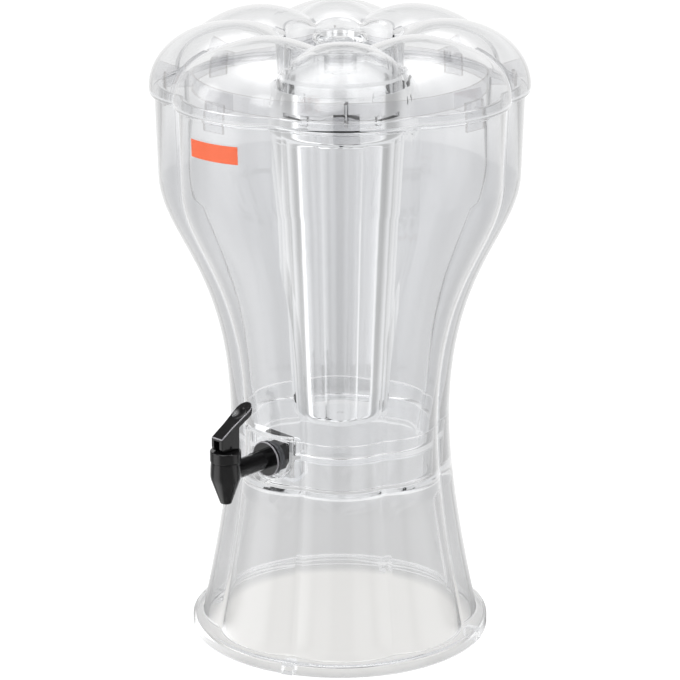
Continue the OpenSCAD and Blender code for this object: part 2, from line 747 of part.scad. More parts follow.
module lid_shell() {
    outer = [for (i = [0:dome_steps]) dome(i / dome_steps, 0)];
    inner = [for (i = [0:dome_steps]) dome(i / dome_steps, -lid_wall)];
    lobed_ring(concat(
        [[lip_in, lid_z, 1, 0], [lid_r - lip_round, lid_z, 1, 0],
         [lid_r - lip_round / 5, lid_z + lip_round / 2, 1, 0]],
        outer,
        [for (t = rim_step) slope(t, 0)],
        [[well_r - well_lip / 2, crest_z - well_drop - 3 * well_lip, 1, well_lip],
         [spigot_in, well_z, 0.6, 0], [spigot_in, spigot_z, 0, 0],
         [well_r, spigot_z, 0, 0], [well_r, well_z - well_floor, 0, 0],
         [well_r + lid_wall - well_lip / 2, crest_z - well_drop - 5 * well_lip, 1, well_lip]],
        [for (i = [len(rim_step) - 1:-1:0]) slope(rim_step[i], -lid_wall)],
        [for (i = [dome_steps:-1:0]) inner[i]],
        [[lip_in, lip_z - lip_h / 2, 1, 0]]));
}

// At each lobe a fin joins the stiffening ring to the skirt, and a tab hangs inside the reservoir
tab_r = rim_r - wall - tab_gap;
module lid_fin(i) {
    low = lid_z + ring_rise;
    clear_z = mouth_z + rim_room;
    high = clear_z + fin_h;
    tab_in = tab_r - rib_t / 2;
    ring_in = ring_r - rib_t / 2;
    rotate(-90 + i * 2 * half_lobe) {
        rotate([90, 0, 0]) translate([0, 0, -rib_t / 2]) linear_extrude(rib_t)
            polygon([[ring_in, low], [tab_in, low], [tab_in, clear_z], [dome_middle(clear_z), clear_z],
                     [dome_middle(high), high], [ring_in, low + ring_h - rib_t / 2]]);
        translate([tab_r - rib_t, -tab_w / 2, lid_z - tab_drop])
            cube([rib_t, tab_w, clear_z + 2 * rib_t - lid_z + tab_drop]);
    }
}

module lid() {
    color(clear) difference() {
        union() {
            lid_shell();
            translate([0, 0, well_z - well_floor]) cylinder(r = well_r - spigot_t / 2, h = well_floor);
            translate([0, 0, lid_z + ring_rise]) difference() {
                cylinder(r = ring_r, h = ring_h);
                translate([0, 0, -past]) cylinder(r = ring_r - rib_t, h = ring_h + 2 * past);
            }
            for (i = [0:lobes - 1]) lid_fin(i);
            // Bayonet lugs, out from the spigot
            for (i = [0:lugs - 1]) rotate(i * 360 / lugs - lug_arc / 2) translate([0, 0, lug_z])
                rotate_extrude(angle = lug_arc) translate([well_r - bite, 0])
                    square([head_gap - lug_gap + bite, lug_h]);
        }
        translate([0, 0, well_z - well_floor - past])
            cylinder(r = knob_peg + running, h = well_floor + 2 * past);
    }
}

// Knob: a turned stem and head, scalloped round the edge, with a peg in the well's floor
module lid_knob() {
    top = crest_z - knob_drop;
    under = top - knob_head;
    foot = well_z + running;
    bevel = knob_edge / 3;
    color(clear) difference() {
        rotate_extrude() polygon([[0, well_z - well_floor], [knob_peg, well_z - well_floor], [knob_peg, foot],
            [knob_stem - bevel, foot], [knob_stem, under],
            [knob_r - knob_edge, under], [knob_r, under + knob_edge], [knob_r, top - knob_edge],
            [knob_r - bevel, top - bevel], [knob_r - knob_edge, top], [0, top + bevel]]);
        for (i = [0:lobes - 1]) rotate((i + 0.5) * 2 * half_lobe)
            translate([knob_r + scallop_r - scallop_depth, 0, under - past])
                cylinder(r = scallop_r, h = knob_head + bevel + 2 * past);
    }
}

// Ice core
module ice_core() {
    corner = core_round;
    in_foot = core_foot_r - core_wall;
    step = core_wall / 2;
    color(clear) {
        lobed_cup([[core_foot_r - corner, core_z, 1, 0], [core_foot_r, core_z + corner, 1, 0],
                   [core_r, shoulder_core_z - step, 1, 0], [head_out - step, shoulder_core_z, 0.7, 0],
                   [head_out, shoulder_core_z + step, 0.4, 0], [head_out, head_top, 0.4, 0],
                   [head_in, head_top, 0, 0], [head_in, shoulder_core_z + 2 * core_wall, 0, 0],
                   [core_r - core_wall, shoulder_core_z + step, 1, 0],
                   [in_foot, core_z + core_wall + corner, 1, 0],
                   [in_foot - corner, core_z + core_wall, 1, 0]],
                  core_z, core_z + core_wall);
        // Ledges that rest on the lid's lugs
        for (i = [0:lugs - 1]) rotate(i * 360 / lugs - lug_arc / 2)
            translate([0, 0, lug_z + lug_h + rest_gap]) rotate_extrude(angle = lug_arc)
                translate([well_r + lug_gap, 0]) square([head_gap - lug_gap + bite, lug_h]);
    }
}

base_pedestal();
for (i = [0:feet - 1])
    base_foot(i);
reservoir();
tap_body();
tap_bonnet();
outer_washer();
inner_washer();
lock_nut();
bonnet_seal();
valve_plunger();
seat_cup();
valve_spring();
tap_lever();
lever_pin();
lid();
lid_knob();
ice_core();
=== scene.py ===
# A clear drink dispenser: a lobed goblet in a flared pedestal, with a petal lid, a hanging ice core
# and a black lever tap. Metres, +Z up, and the tap points to -Y. Sizes are written in millimetres.
import math

import bmesh
import bpy
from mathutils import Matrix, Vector


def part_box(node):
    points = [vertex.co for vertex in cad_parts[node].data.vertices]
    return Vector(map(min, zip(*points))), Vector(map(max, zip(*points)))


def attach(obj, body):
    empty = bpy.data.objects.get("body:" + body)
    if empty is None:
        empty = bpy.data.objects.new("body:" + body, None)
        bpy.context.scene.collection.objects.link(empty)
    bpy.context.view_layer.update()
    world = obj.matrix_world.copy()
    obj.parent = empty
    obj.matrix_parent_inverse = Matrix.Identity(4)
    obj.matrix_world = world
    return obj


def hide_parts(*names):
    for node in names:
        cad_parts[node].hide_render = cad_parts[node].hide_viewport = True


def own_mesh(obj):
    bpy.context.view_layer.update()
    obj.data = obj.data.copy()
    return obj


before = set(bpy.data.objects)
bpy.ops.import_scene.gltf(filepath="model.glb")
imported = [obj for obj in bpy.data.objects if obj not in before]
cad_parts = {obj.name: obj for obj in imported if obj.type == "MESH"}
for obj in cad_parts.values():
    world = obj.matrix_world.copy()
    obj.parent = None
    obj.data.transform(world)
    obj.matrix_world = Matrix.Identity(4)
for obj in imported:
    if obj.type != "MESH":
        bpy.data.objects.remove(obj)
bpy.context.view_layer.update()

# Pedestal: one clear injection-moulded shell, lobed like a flower, that flares to a round foot rim.
# Its collar takes the reservoir's skirt, a narrow shelf inside carries the weight,
# and a notch at the front leaves room for the tap's seat.
MM = 0.001
LOBES = 8
LOBE_SHARE = 0.44
COLUMNS = 24 * LOBES
HALF_LOBE = math.pi / LOBES


def lobed(angle):
    """Radius of the flower outline at an angle from the tap, where its outermost radius is 1."""
    fold = angle - 2 * HALF_LOBE * round(angle / (2 * HALF_LOBE))
    return LOBE_SHARE * math.cos(fold) + math.sqrt((1 - LOBE_SHARE) ** 2 - (LOBE_SHARE * math.sin(fold)) ** 2)


GROOVE = 1 - lobed(HALF_LOBE)


def place(point, angle, outline=lobed):
    """A section's point (radius, height, lobing, drop in the grooves) turned round the axis, in metres."""
    r, z, lobing, drop = point
    inward = 1 - outline(angle)
    r = r * (1 - lobing * inward)
    z = z - drop * inward / GROOVE
    return Vector((r * math.sin(angle), -r * math.cos(angle), z)) * MM


def rounded(corners, steps=4):
    """A section whose corners (radius, height, lobing, drop, rounding) are rounded off."""
    corners = [tuple(c) + (0,) * (5 - len(c)) for c in corners]
    points = []
    for i, corner in enumerate(corners):
        here, rounding = Vector(corner[:4]), corner[4]
        before = Vector(corners[i - 1][:4]) - here
        after = Vector(corners[(i + 1) % len(corners)][:4]) - here
        reach = min(rounding, 0.45 * before.xy.length, 0.45 * after.xy.length)
        if reach <= 0:
            points.append(tuple(here))
            continue
        start = here + before * (reach / before.xy.length)
        end = here + after * (reach / after.xy.length)
        for k in range(steps + 1):
            t = k / steps
            points.append(tuple(start * (1 - t) ** 2 + here * (2 * t * (1 - t)) + end * t ** 2))
    return points


def square_curve(a, b, c, t):
    """A value on a curve from a to c that b pulls to itself, at a share t of the way."""
    return a * (1 - t) ** 2 + 2 * b * t * (1 - t) + c * t ** 2


def cubic_curve(a, b, c, d, t):
    """A value on a curve from a to d that b and c pull to themselves, at a share t of the way."""
    return a * (1 - t) ** 3 + 3 * b * t * (1 - t) ** 2 + 3 * c * t ** 2 * (1 - t) + d * t ** 3


def shares(steps):
    """Equal steps from 0 to 1."""
    return [i / steps for i in range(steps + 1)]


SHARP = 38


def new_piece(name, bm):
    """Turns a mesh under construction into an object with smooth faces and sharp corners."""
    bmesh.ops.recalc_face_normals(bm, faces=bm.faces)
    mesh = bpy.data.meshes.new(name)
    bm.to_mesh(mesh)
    bm.free()
    piece = bpy.data.objects.new(name, mesh)
    bpy.context.scene.collection.objects.link(piece)
    smooth(piece)
    return piece


def smooth(piece, sharp=SHARP):
    """Smooth light over the whole piece, apart from the corners that are sharper than an angle in degrees."""
    for face in piece.data.polygons:
        face.use_smooth = True
    piece.data.set_sharp_from_angle(angle=math.radians(sharp))


def settle(piece):
    """Makes what the modifiers show the piece's own mesh."""
    graph = bpy.context.evaluated_depsgraph_get()
    mesh = bpy.data.meshes.new_from_object(piece.evaluated_get(graph))
    piece.modifiers.clear()
    piece.data = mesh


def even_flats(piece, sharp=SHARP):
    """Keeps flat faces flat in the light, so that only the rounded edges between them shine."""
    smooth(piece, sharp)
    step = piece.modifiers.new("flats", "WEIGHTED_NORMAL")
    step.keep_sharp = True
    settle(piece)


def spin(name, section, outline=lobed, columns=COLUMNS):
    """A section turned round the axis. One that starts and ends at radius 0 is closed there."""
    bm = bmesh.new()
    rows = []
    for point in section:
        count = columns if point[0] > 0 else 1
        rows.append([bm.verts.new(place(point, 2 * math.pi * j / columns, outline)) for j in range(count)])
    pairs = list(zip(rows, rows[1:]))
    if section[0][0] > 0:
        pairs.append((rows[-1], rows[0]))
    for low, high in pairs:
        for j in range(columns):
            k = j + 1
            loop = [low[j % len(low)], low[k % len(low)], high[k % len(high)], high[j % len(high)]]
            bm.faces.new(list(dict.fromkeys(loop)))
    return new_piece(name, bm)


def bridge(bm, low, high):
    """Closes the band between two rings of corners."""
    for j in range(len(low)):
        k = (j + 1) % len(low)
        bm.faces.new([low[j], low[k], high[k], high[j]])


def skin(name, rings):
    """A closed piece whose wall follows a row of rings of points, in metres, with a flat end at each side."""
    bm = bmesh.new()
    rings = [[bm.verts.new(point) for point in ring] for ring in rings]
    bm.faces.new(rings[0])
    bm.faces.new(rings[-1])
    for low, high in zip(rings, rings[1:]):
        bridge(bm, low, high)
    return new_piece(name, bm)


def upright(x, y, z):
    return (x, y, z)


def prism(name, outline, low, high, frame_of=upright):
    """A flat outline carried from one height to another; frame_of turns a point into the dispenser's frame."""
    return skin(name, [[Vector(frame_of(x, y, z)) * MM for x, y in outline] for z in (low, high)])


def arc(r, start, end, steps, x=0, y=0):
    """Points on an arc round x and y, from one angle to another."""
    return [(x + r * math.cos(a), y + r * math.sin(a)) for a in (start + (end - start) * t for t in shares(steps))]


def slab(low_x, high_x, low_y, high_y):
    """The outline of a rectangle."""
    return [(low_x, low_y), (high_x, low_y), (high_x, high_y), (low_x, high_y)]


def work(piece, tool, operation):
    """Joins a tool to a piece or cuts it out, then throws the tool away."""
    step = piece.modifiers.new("work", "BOOLEAN")
    step.object = tool
    step.operation = operation
    step.solver = "MANIFOLD"
    settle(piece)
    bpy.data.objects.remove(tool)
    smooth(piece)


TAP_Z = 171
NECK_Z, NECK_R = 191, 92.4
SEAT_W, SEAT_LOW, SEAT_FACE, SEAT_BACK = 47, 152.5, 85, 77
SEAT_GAP, NOTCH_IN = 0.5, SEAT_BACK - 2.5


def along_tap(x, z, y):
    """Frame of a prism that runs out along the tap: its outline lies in x and z."""
    return (x, -y, z)


def seat_outline(grow, top):
    """The tap seat's outline: a half circle below, with straight sides up to the top."""
    r = SEAT_W / 2 + grow
    return arc(r, math.pi, 2 * math.pi, 32, 0, SEAT_LOW + SEAT_W / 2) + [(r, top), (-r, top)]


FOOT_R, FOOT_ROUND, PAD_PROUD, RIM_Z = 126, 5, 0.8, 11.3
PEDESTAL_R, PEDESTAL_HANDLE, PEDESTAL_WALL = 117.4, 130, 3.2
FLANGE_Z = RIM_Z - PEDESTAL_WALL
SKIRT_Z, SKIRT_R, SKIRT_GAP = 151, 88.8, 0.4
COLLAR_IN = SKIRT_R + SKIRT_GAP
SHELF_W, SHELF_T, SHELF_WEB = 5.5, 3.6, 4
PAD_W, PAD_GAP, PADS = 10, 0.1, 4
FOOT_TURNS = [HALF_LOBE + 2 * math.pi / PADS * i for i in range(PADS)]


def pedestal_wall(t, inward=0):
    """The pedestal's flared wall, from the foot rim up to the neck."""
    return (square_curve(PEDESTAL_R, NECK_R, NECK_R, t) - inward,
            square_curve(RIM_Z, PEDESTAL_HANDLE, NECK_Z, t), 1, 0)


def pedestal_section():
    rim_in = FOOT_R - PEDESTAL_WALL
    shelf_in = COLLAR_IN - SHELF_W
    web_z = SKIRT_Z - SHELF_T - SHELF_WEB
    outer = [pedestal_wall(t) for t in shares(36)]
    inner = [point for point in (pedestal_wall(t, PEDESTAL_WALL) for t in shares(36)) if point[1] < web_z - SHELF_WEB]
    return rounded(
        [(rim_in, PAD_PROUD, 0, 0, 0.5), (FOOT_R, PAD_PROUD, 0, 0, 0.6), (FOOT_R, RIM_Z, 0, 0, FOOT_ROUND),
         (PEDESTAL_R, RIM_Z, 1, 0, 1.5)]
        + outer[1:-1]
        + [(NECK_R, NECK_Z, 1, 0, 0.7), (COLLAR_IN, NECK_Z, 1, 0, 0.5), (COLLAR_IN, SKIRT_Z, 1, 0, 0.8),
           (shelf_in, SKIRT_Z, 1, 0, 0.6), (shelf_in, SKIRT_Z - SHELF_T, 1, 0, 0.6),
           (COLLAR_IN + 0.6, web_z, 1, 0, 3)]
        + inner[:0:-1]
        + [(PEDESTAL_R - PEDESTAL_WALL, FLANGE_Z, 1, 0, 1.2), (rim_in, FLANGE_Z, 0, 0, 1)])


def foot_box(name, width, inner, low, high, outer, turn):
    """A block across the foot rim, at an angle from the tap."""
    def across_rim(x, y, z):
        return (x * math.cos(turn) + y * math.sin(turn), x * math.sin(turn) - y * math.cos(turn), z)
    return prism(name, slab(-width / 2, width / 2, inner, outer), low, high, across_rim)


pedestal = spin("pedestal", pedestal_section())
work(pedestal, prism("notch", seat_outline(SEAT_GAP, NECK_Z + 1), NOTCH_IN, FOOT_R, along_tap), "DIFFERENCE")
for turn in FOOT_TURNS:
    work(pedestal, foot_box("foot_notch", PAD_W + 2 * PAD_GAP, FOOT_R - PEDESTAL_WALL - 1, -1, FLANGE_Z + PAD_GAP,
                            FOOT_R + 1, turn), "DIFFERENCE")


class Wire:
    """A shader socket in an expression: each operator adds a Math node."""

    def __init__(self, finish, socket):
        self.finish, self.socket = finish, socket

    def math(self, operation, *values):
        return self.finish.node("ShaderNodeMath", {"operation": operation}, dict(enumerate(values)))

    def __add__(self, other):
        return self.math("ADD", self, other)

    def __sub__(self, other):
        return self.math("SUBTRACT", self, other)

    def __rsub__(self, other):
        return self.math("SUBTRACT", other, self)

    def __mul__(self, other):
        return self.math("MULTIPLY", self, other)

    def __gt__(self, other):
        return self.math("GREATER_THAN", self, other)

    __radd__, __rmul__ = __add__, __mul__


class Finish:
    """A material, or the world, whose nodes are added one by one."""

    def __init__(self, name, owner=None):
        self.owner = owner or bpy.data.materials.new(name)
        self.owner.use_nodes = True
        self.tree = self.owner.node_tree
        self.tree.nodes.clear()

    def node(self, kind, settings=None, values=None, output=0):
        """Adds a node: its settings first, then the values and links of its sockets."""
        made = self.tree.nodes.new(kind)
        for key, value in (settings or {}).items():
            if key == "stops":
                ramp = made.color_ramp
                for element, (at, colour) in zip(ramp.elements, value):
                    element.position, element.color = at, (*colour, 1)
                for at, colour in value[len(ramp.elements):]:
                    ramp.elements.new(at).color = (*colour, 1)
            else:
                setattr(made, key, value)
        for key, value in (values or {}).items():
            if isinstance(value, Wire):
                self.tree.links.new(value.socket, made.inputs[key])
            elif isinstance(value, tuple) and made.inputs[key].type == "RGBA":
                made.inputs[key].default_value = (*value, 1)
            else:
                made.inputs[key].default_value = value
        return Wire(self, made.outputs[output]) if made.outputs else None

    def noise(self, scale, detail=3, stretch=(1, 1, 1)):
        """Noise over the piece's own coordinates, in metres, stretched along the axes."""
        at = self.node("ShaderNodeTexCoord", output="Object")
        at = self.node("ShaderNodeMapping", None, {"Vector": at, "Scale": stretch})
        return self.node("ShaderNodeTexNoise", None, {"Vector": at, "Scale": scale, "Detail": detail}, "Fac")

    def blend(self, share, low, high):
        """One colour or the other, by a share."""
        return self.node("ShaderNodeMix", {"data_type": "RGBA"}, {0: share, 6: low, 7: high}, 2)

    def mix(self, share, first, second):
        """One shader or the other, by a share."""
        return self.node("ShaderNodeMixShader", None, {0: share, 1: first, 2: second})

    def bump(self, height, depth):
        return self.node("ShaderNodeBump", None, {"Height": height, "Distance": depth, "Strength": 1.0})

    def surface(self, shader):
        kind = "ShaderNodeOutputWorld" if isinstance(self.owner, bpy.types.World) else "ShaderNodeOutputMaterial"
        self.node(kind, None, {"Surface": shader})
        return self.owner

    def plastic(self, values):
        return self.node("ShaderNodeBsdfPrincipled", None, values)


def see_through(made, body, tint):
    """Lets lamps shine through a clear finish, and lets light that has mirrored once pass on unbent."""
    through = made.node("ShaderNodeBsdfTransparent", None, {"Color": tint})
    lit = made.mix(ray(made, "Is Shadow Ray"), body, through)
    return made.surface(made.mix(ray(made, "Is Reflection Ray"), lit, through))


def ray(made, kind):
    return made.node("ShaderNodeLightPath", output=kind)


CLEAR_SHADOW = (0.98, 0.982, 0.985)


def clear_plastic(name, tint, flow):
    """Clear moulded plastic with faint flow lines."""
    made = Finish(name)
    streaks = made.noise(26, 4, flow)
    haze = made.noise(9, 2)
    ripple = made.noise(34, 2, flow)
    colour = made.blend(haze, tint, tuple(min(1, c + 0.02) for c in tint))
    body = made.plastic({
        "Base Color": colour, "Roughness": 0.012 + 0.03 * streaks, "IOR": 1.5, "Transmission Weight": 1.0,
        "Normal": made.bump(ripple, 0.0001)})
    return see_through(made, body, CLEAR_SHADOW)


def thin_plastic(name, tint, flow, veil=None):
    """Clear plastic of a thin inner piece: seen through another wall it mirrors but doesn't bend.
    A veil is the light that passes a rib, which mirrors gently."""
    made = Finish(name)
    streaks = made.noise(26, 4, flow)
    ripple = made.noise(34, 2, flow)
    normal = made.bump(ripple, 0.0001)
    body = made.plastic({
        "Base Color": made.blend(streaks, tint, tuple(min(1, c + 0.02) for c in tint)),
        "Roughness": 0.012 + 0.03 * streaks, "IOR": 1.5, "Transmission Weight": 1.0, "Normal": normal})
    open_wall = made.node("ShaderNodeBsdfTransparent", None, {"Color": veil or (0.995, 0.995, 0.996)})
    mirror = made.node("ShaderNodeBsdfGlossy", None, {"Color": (1, 1, 1), "Roughness": 0.03, "Normal": normal})
    edge = made.node("ShaderNodeFresnel", None, {"IOR": 1.5, "Normal": normal})
    if veil:
        slant = made.node("ShaderNodeLayerWeight", None, {"Blend": 0.5, "Normal": normal}, "Facing")
        edge = 0.04 + 0.5 * slant * slant * slant * slant
    seen = made.mix(ray(made, "Is Transmission Ray"), body, made.mix(edge, open_wall, mirror))
    return see_through(made, seen, CLEAR_SHADOW)


def coat(piece, *finishes):
    """Gives a piece its finishes in place of those that it has."""
    piece.data.materials.clear()
    for finish in finishes:
        piece.data.materials.append(finish)


def dress(piece, finish, body, slot, *nodes):
    """Gives a piece its finish, unless it has it, the body it moves with and the solids that it stands for."""
    if finish:
        coat(piece, finish)
    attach(piece, body)
    if nodes:
        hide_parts(*nodes)


UPRIGHT_FLOW = (1, 1, 0.12)
even_flats(pedestal)
dress(pedestal, clear_plastic("pedestal_clear", (0.975, 0.977, 0.98), UPRIGHT_FLOW), "base", "clear_plastic",
      "base_pedestal")

# Feet: four soft clear pads, pushed up into notches of the foot rim from below.
# They are cast from a milky soft plastic and stand slightly below the rim.
PAD_L, PAD_ROUND, PAD_IN = 13, 0.8, 0.1


def soft_pad(name):
    """Soft clear plastic with milky clouds."""
    made = Finish(name)
    cloud = made.noise(120, 3)
    body = made.plastic({
        "Base Color": made.blend(cloud, (0.93, 0.935, 0.94), (0.98, 0.98, 0.985)),
        "Roughness": 0.1 + 0.12 * cloud, "IOR": 1.45, "Transmission Weight": 1.0})
    return see_through(made, body, (0.92, 0.925, 0.93))


def soften_edges(piece, width, segments=3, angle=30, strip=-1):
    """Rounds the corners of a piece that is made of flat faces; strip is the finish of the rounded edges."""
    step = piece.modifiers.new("edges", "BEVEL")
    step.width = width * MM
    step.segments = segments
    step.limit_method = "ANGLE"
    step.angle_limit = math.radians(angle)
    step.material = strip
    settle(piece)
    smooth(piece)


PAD_FINISH = soft_pad("soft_clear_pad")
for number, turn in enumerate(FOOT_TURNS, 1):
    pad = foot_box(f"foot_{number}", PAD_W, FOOT_R - PAD_L, 0, FLANGE_Z - 0.02, FOOT_R - PAD_IN, turn)
    soften_edges(pad, PAD_ROUND)
    dress(pad, PAD_FINISH, "base", "clear_soft_pad", f"base_foot_{number}")

# Reservoir: the clear goblet that holds the drink, moulded in one piece with its floor and skirt.
# The skirt drops into the pedestal's collar. The tap's seat is a flat boss at the front,
# with a small sump behind it so that the last of the drink runs to the tap.
WALL = 3
NECK_HANDLE, SHOULDER_Z, SHOULDER_R, SHOULDER_HANDLE = 129, 400, 149.5, 50.5
LEDGE_Z, MOUTH_R, RIM_H = 467, 151.5, 9
RIM_R = MOUTH_R - WALL
FLOOR_Z, REST_GAP = 177, 0.15
SUMP_Z, SUMP_END, SUMP_R = 157, 72.5, 20.5
SHANK_HOLE = 8.3


def bowl_wall(t, inward=0):
    """The goblet's wall, from the neck up to the shoulder."""
    return (cubic_curve(NECK_R, NECK_R, SHOULDER_R, SHOULDER_R, t) - inward,
            cubic_curve(NECK_Z, NECK_Z + NECK_HANDLE, SHOULDER_Z - SHOULDER_HANDLE, SHOULDER_Z, t), 1, 0)


def reservoir_section():
    skirt_in = SKIRT_R - WALL
    step_z = NECK_Z + REST_GAP
    skirt_low = SKIRT_Z + REST_GAP
    under = FLOOR_Z - WALL
    floor_in = skirt_in - 0.6
    outer = [bowl_wall(t) for t in shares(48)][1:]
    inner = [bowl_wall(t, WALL) for t in shares(48)][5:]
    mouth_z = LEDGE_Z + RIM_H
    return rounded(
        [(0, under, 1, 0), (skirt_in, under, 1, 0, 2), (skirt_in, skirt_low, 1, 0, 0.6),
         (SKIRT_R, skirt_low, 1, 0, 0.8), (SKIRT_R, step_z, 1, 0, 0.8), (NECK_R, step_z, 1, 0, 0.6)]
        + outer
        + [(MOUTH_R, LEDGE_Z, 1, 0, 0.6), (RIM_R, LEDGE_Z, 1, 0, 0.6), (RIM_R, mouth_z, 1, 0, 0.7),
           (RIM_R - WALL, mouth_z, 1, 0, 0.7), (RIM_R - WALL, LEDGE_Z - 4, 1, 0, 3)]
        + inner[::-1]
        + [(floor_in, FLOOR_Z, 1, 0, 4), (0, FLOOR_Z, 1, 0)])


def sump_outline(r, outer):
    """The sump in plan: round at its inner end, square at the tap."""
    return arc(r, 0, math.pi, 32, 0, -SUMP_END) + [(-r, -outer), (r, -outer)]


def rod_outline(r, count, x=0, y=0):
    return arc(r, 0, 2 * math.pi, count, x, y)[:-1]


SEAT_IN, SEAT_EDGE, BITE = SEAT_FACE - 5, 1.5, 0.6
ROOF_LOW, ROOF_TOP = NECK_Z + REST_GAP, NECK_Z + REST_GAP + WALL
reservoir = spin("reservoir", reservoir_section())
seat = prism("seat", seat_outline(0, NECK_Z - BITE), SEAT_BACK, SEAT_FACE, along_tap)
soften_edges(seat, SEAT_EDGE, 4)
work(reservoir, prism("face", seat_outline(0, ROOF_LOW), SEAT_FACE, FOOT_R, along_tap), "DIFFERENCE")
work(reservoir, seat, "UNION")
for name, low, inner, outer in (("roof", NECK_Z - 2 * BITE, SEAT_IN, SEAT_FACE),
                                ("eaves", ROOF_LOW, SEAT_FACE - 1, NECK_R - WALL)):
    work(reservoir, prism(name, slab(-SEAT_W / 2, SEAT_W / 2, low, ROOF_TOP), inner, outer, along_tap), "UNION")
work(reservoir, prism("sump", sump_outline(SUMP_R + WALL, SEAT_IN), SUMP_Z - WALL, FLOOR_Z - BITE), "UNION")
work(reservoir, prism("hollow", sump_outline(SUMP_R, SEAT_IN), SUMP_Z, NECK_Z), "DIFFERENCE")
work(reservoir, prism("hole", rod_outline(SHANK_HOLE, 64, 0, TAP_Z), SEAT_BACK - 5, FOOT_R, along_tap), "DIFFERENCE")
even_flats(reservoir)
dress(reservoir, clear_plastic("reservoir_clear", (0.97, 0.974, 0.98), UPRIGHT_FLOW), "tank", "clear_plastic",
      "reservoir")

# Sticker: a plain orange paper label, stuck on the wall over the tap, a little crooked.
# It is thin, so it follows the lobe's curve.
STICKER_TURN, STICKER_Z = (math.radians(-8.7), math.radians(10.6)), (436.0, 450.5)
STICKER_LEAN, STICKER_T, STICKER_OFF = 1.2, 0.15, 0.04


def sticker_mesh():
    bm = bmesh.new()
    across, up = shares(24), shares(6)
    layers = []
    for lift in (STICKER_OFF, STICKER_OFF + STICKER_T):
        grid = []
        for v in up:
            row = []
            for u in across:
                z = STICKER_Z[0] + v * (STICKER_Z[1] - STICKER_Z[0]) + u * STICKER_LEAN
                r = SHOULDER_R + (MOUTH_R - SHOULDER_R) * (z - SHOULDER_Z) / (LEDGE_Z - SHOULDER_Z) + lift
                angle = STICKER_TURN[0] + u * (STICKER_TURN[1] - STICKER_TURN[0])
                row.append(bm.verts.new(place((r, z, 1, 0), angle)))
            grid.append(row)
        layers.append(grid)
    for grid in layers:
        for low, high in zip(grid, grid[1:]):
            for j in range(len(low) - 1):
                bm.faces.new([low[j], low[j + 1], high[j + 1], high[j]])

    def edge(grid):
        return grid[0] + [row[-1] for row in grid[1:]] + grid[-1][-2::-1] + [row[0] for row in grid[-2:0:-1]]
    bridge(bm, *map(edge, layers))
    return new_piece("sticker", bm)


def sticker_paper():
    made = Finish("orange_paper")
    fibre = made.noise(900, 4)
    ink = made.blend(fibre, (0.56, 0.087, 0.027), (0.62, 0.104, 0.035))
    return made.surface(made.plastic({
        "Base Color": ink, "Roughness": 0.36 + 0.12 * fibre, "Normal": made.bump(fibre, 0.00004)}))


sticker = sticker_mesh()
dress(sticker, sticker_paper(), "tank", "clear_plastic")

# Tap body: the black spout with its stem, flange and shank, moulded in one piece.
# The shank goes through the reservoir's seat and is held by a nut from inside.
SPOUT_Y = 136.5
SPOUT_R, TIP_R, TIP_DROP, CONE_DROP, WIDE_RISE, BULGE = 12.6, 4.7, 25.4, 5, 1.5, 0.6
JOINT_Z, BONNET_Z = 182.3, 191.3
OUTLET_R, CHAMBER_R, SEAT_Z, VALVE_SEAT_R, VALVE_SEAT_H = 3.2, 8.4, 162.5, 5.4, 2.2
NECK_TOP, NECK_PLUG_R = 186.15, 10.45
SHANK_R, WATER_R, FLANGE_R, FLANGE_T, FLANGE_EDGE = 8, 4.6, 15, 3, 1
WASHER_T, SHANK_LEN = 2.5, 24
FLANGE_Y = SEAT_FACE + WASHER_T
FLANGE_END, SHANK_END = FLANGE_Y + FLANGE_T, FLANGE_Y - SHANK_LEN
RIB_LEANS, RIB_PROUD, RIB_L = (-0.7, 0, 0.7), 0.7, 14
# Painted highlight: how many times paler the lit rim strips of the lever and the flange are than the black.
EDGE_PAINTED_HIGHLIGHT = 45


def circle(angle):
    """The outline of a turned piece."""
    return 1.0


def turned(name, corners, columns=64):
    """A turned piece round the spout's upright axis; its corners are (radius, height, rounding)."""
    piece = spin(name, rounded([(r, z, 0, 0, rounding) for r, z, rounding in corners]), circle, columns)
    for vertex in piece.data.vertices:
        vertex.co.y -= SPOUT_Y * MM
    return piece


def rod_along_tap(name, rings, count=48):
    """A turned rod along the tap's axis; its rings are (radius, distance from the dispenser's axis)."""
    return skin(name, [[Vector(along_tap(x, TAP_Z + z, y)) * MM for x, z in rod_outline(r, count)] for r, y in rings])


def spout_corners():
    tip_z = TAP_Z - TIP_DROP
    cone_z, wide_z = TAP_Z - CONE_DROP, TAP_Z + WIDE_RISE
    end_r = SPOUT_R - BULGE
    up = [(square_curve(end_r, SPOUT_R + BULGE / 2, SPOUT_R, t),
           square_curve(cone_z, (cone_z + wide_z) / 2, wide_z, t), 0) for t in shares(10)]
    top = [(square_curve(SPOUT_R, SPOUT_R, end_r, t),
            square_curve(wide_z, (wide_z + JOINT_Z) / 2, JOINT_Z - 0.5, t), 0) for t in shares(8)[1:]]
    return ([(OUTLET_R, tip_z, 0.3), (TIP_R, tip_z, 0.5)] + up + top
            + [(end_r - 0.5, JOINT_Z, 0.3), (NECK_PLUG_R, JOINT_Z, 0), (NECK_PLUG_R, NECK_TOP, 0.2),
               (CHAMBER_R, NECK_TOP, 0.2), (CHAMBER_R, SEAT_Z, 0), (VALVE_SEAT_R, SEAT_Z, 0),
               (OUTLET_R, SEAT_Z - VALVE_SEAT_H, 0)])


def black_plastic(name, gloss, highlight_gain=1):
    """Black moulded plastic: a fine grain, a little wear and a soft shine. A highlight gain above 1 makes the finish
    paler, for the painted highlights on lit edge strips.
    """
    made = Finish(name)
    grain = made.noise(1400, 3)
    wear = made.noise(70, 4)
    dark, pale = (tuple(c * highlight_gain for c in shade) for shade in ((0.0025, 0.0024, 0.0026), (0.005, 0.0049, 0.0052)))
    return made.surface(made.plastic({
        "Base Color": made.blend(wear, dark, pale), "Roughness": gloss + 0.08 * wear + 0.04 * grain, "IOR": 1.52,
        "Normal": made.bump(grain, 0.00001)}))


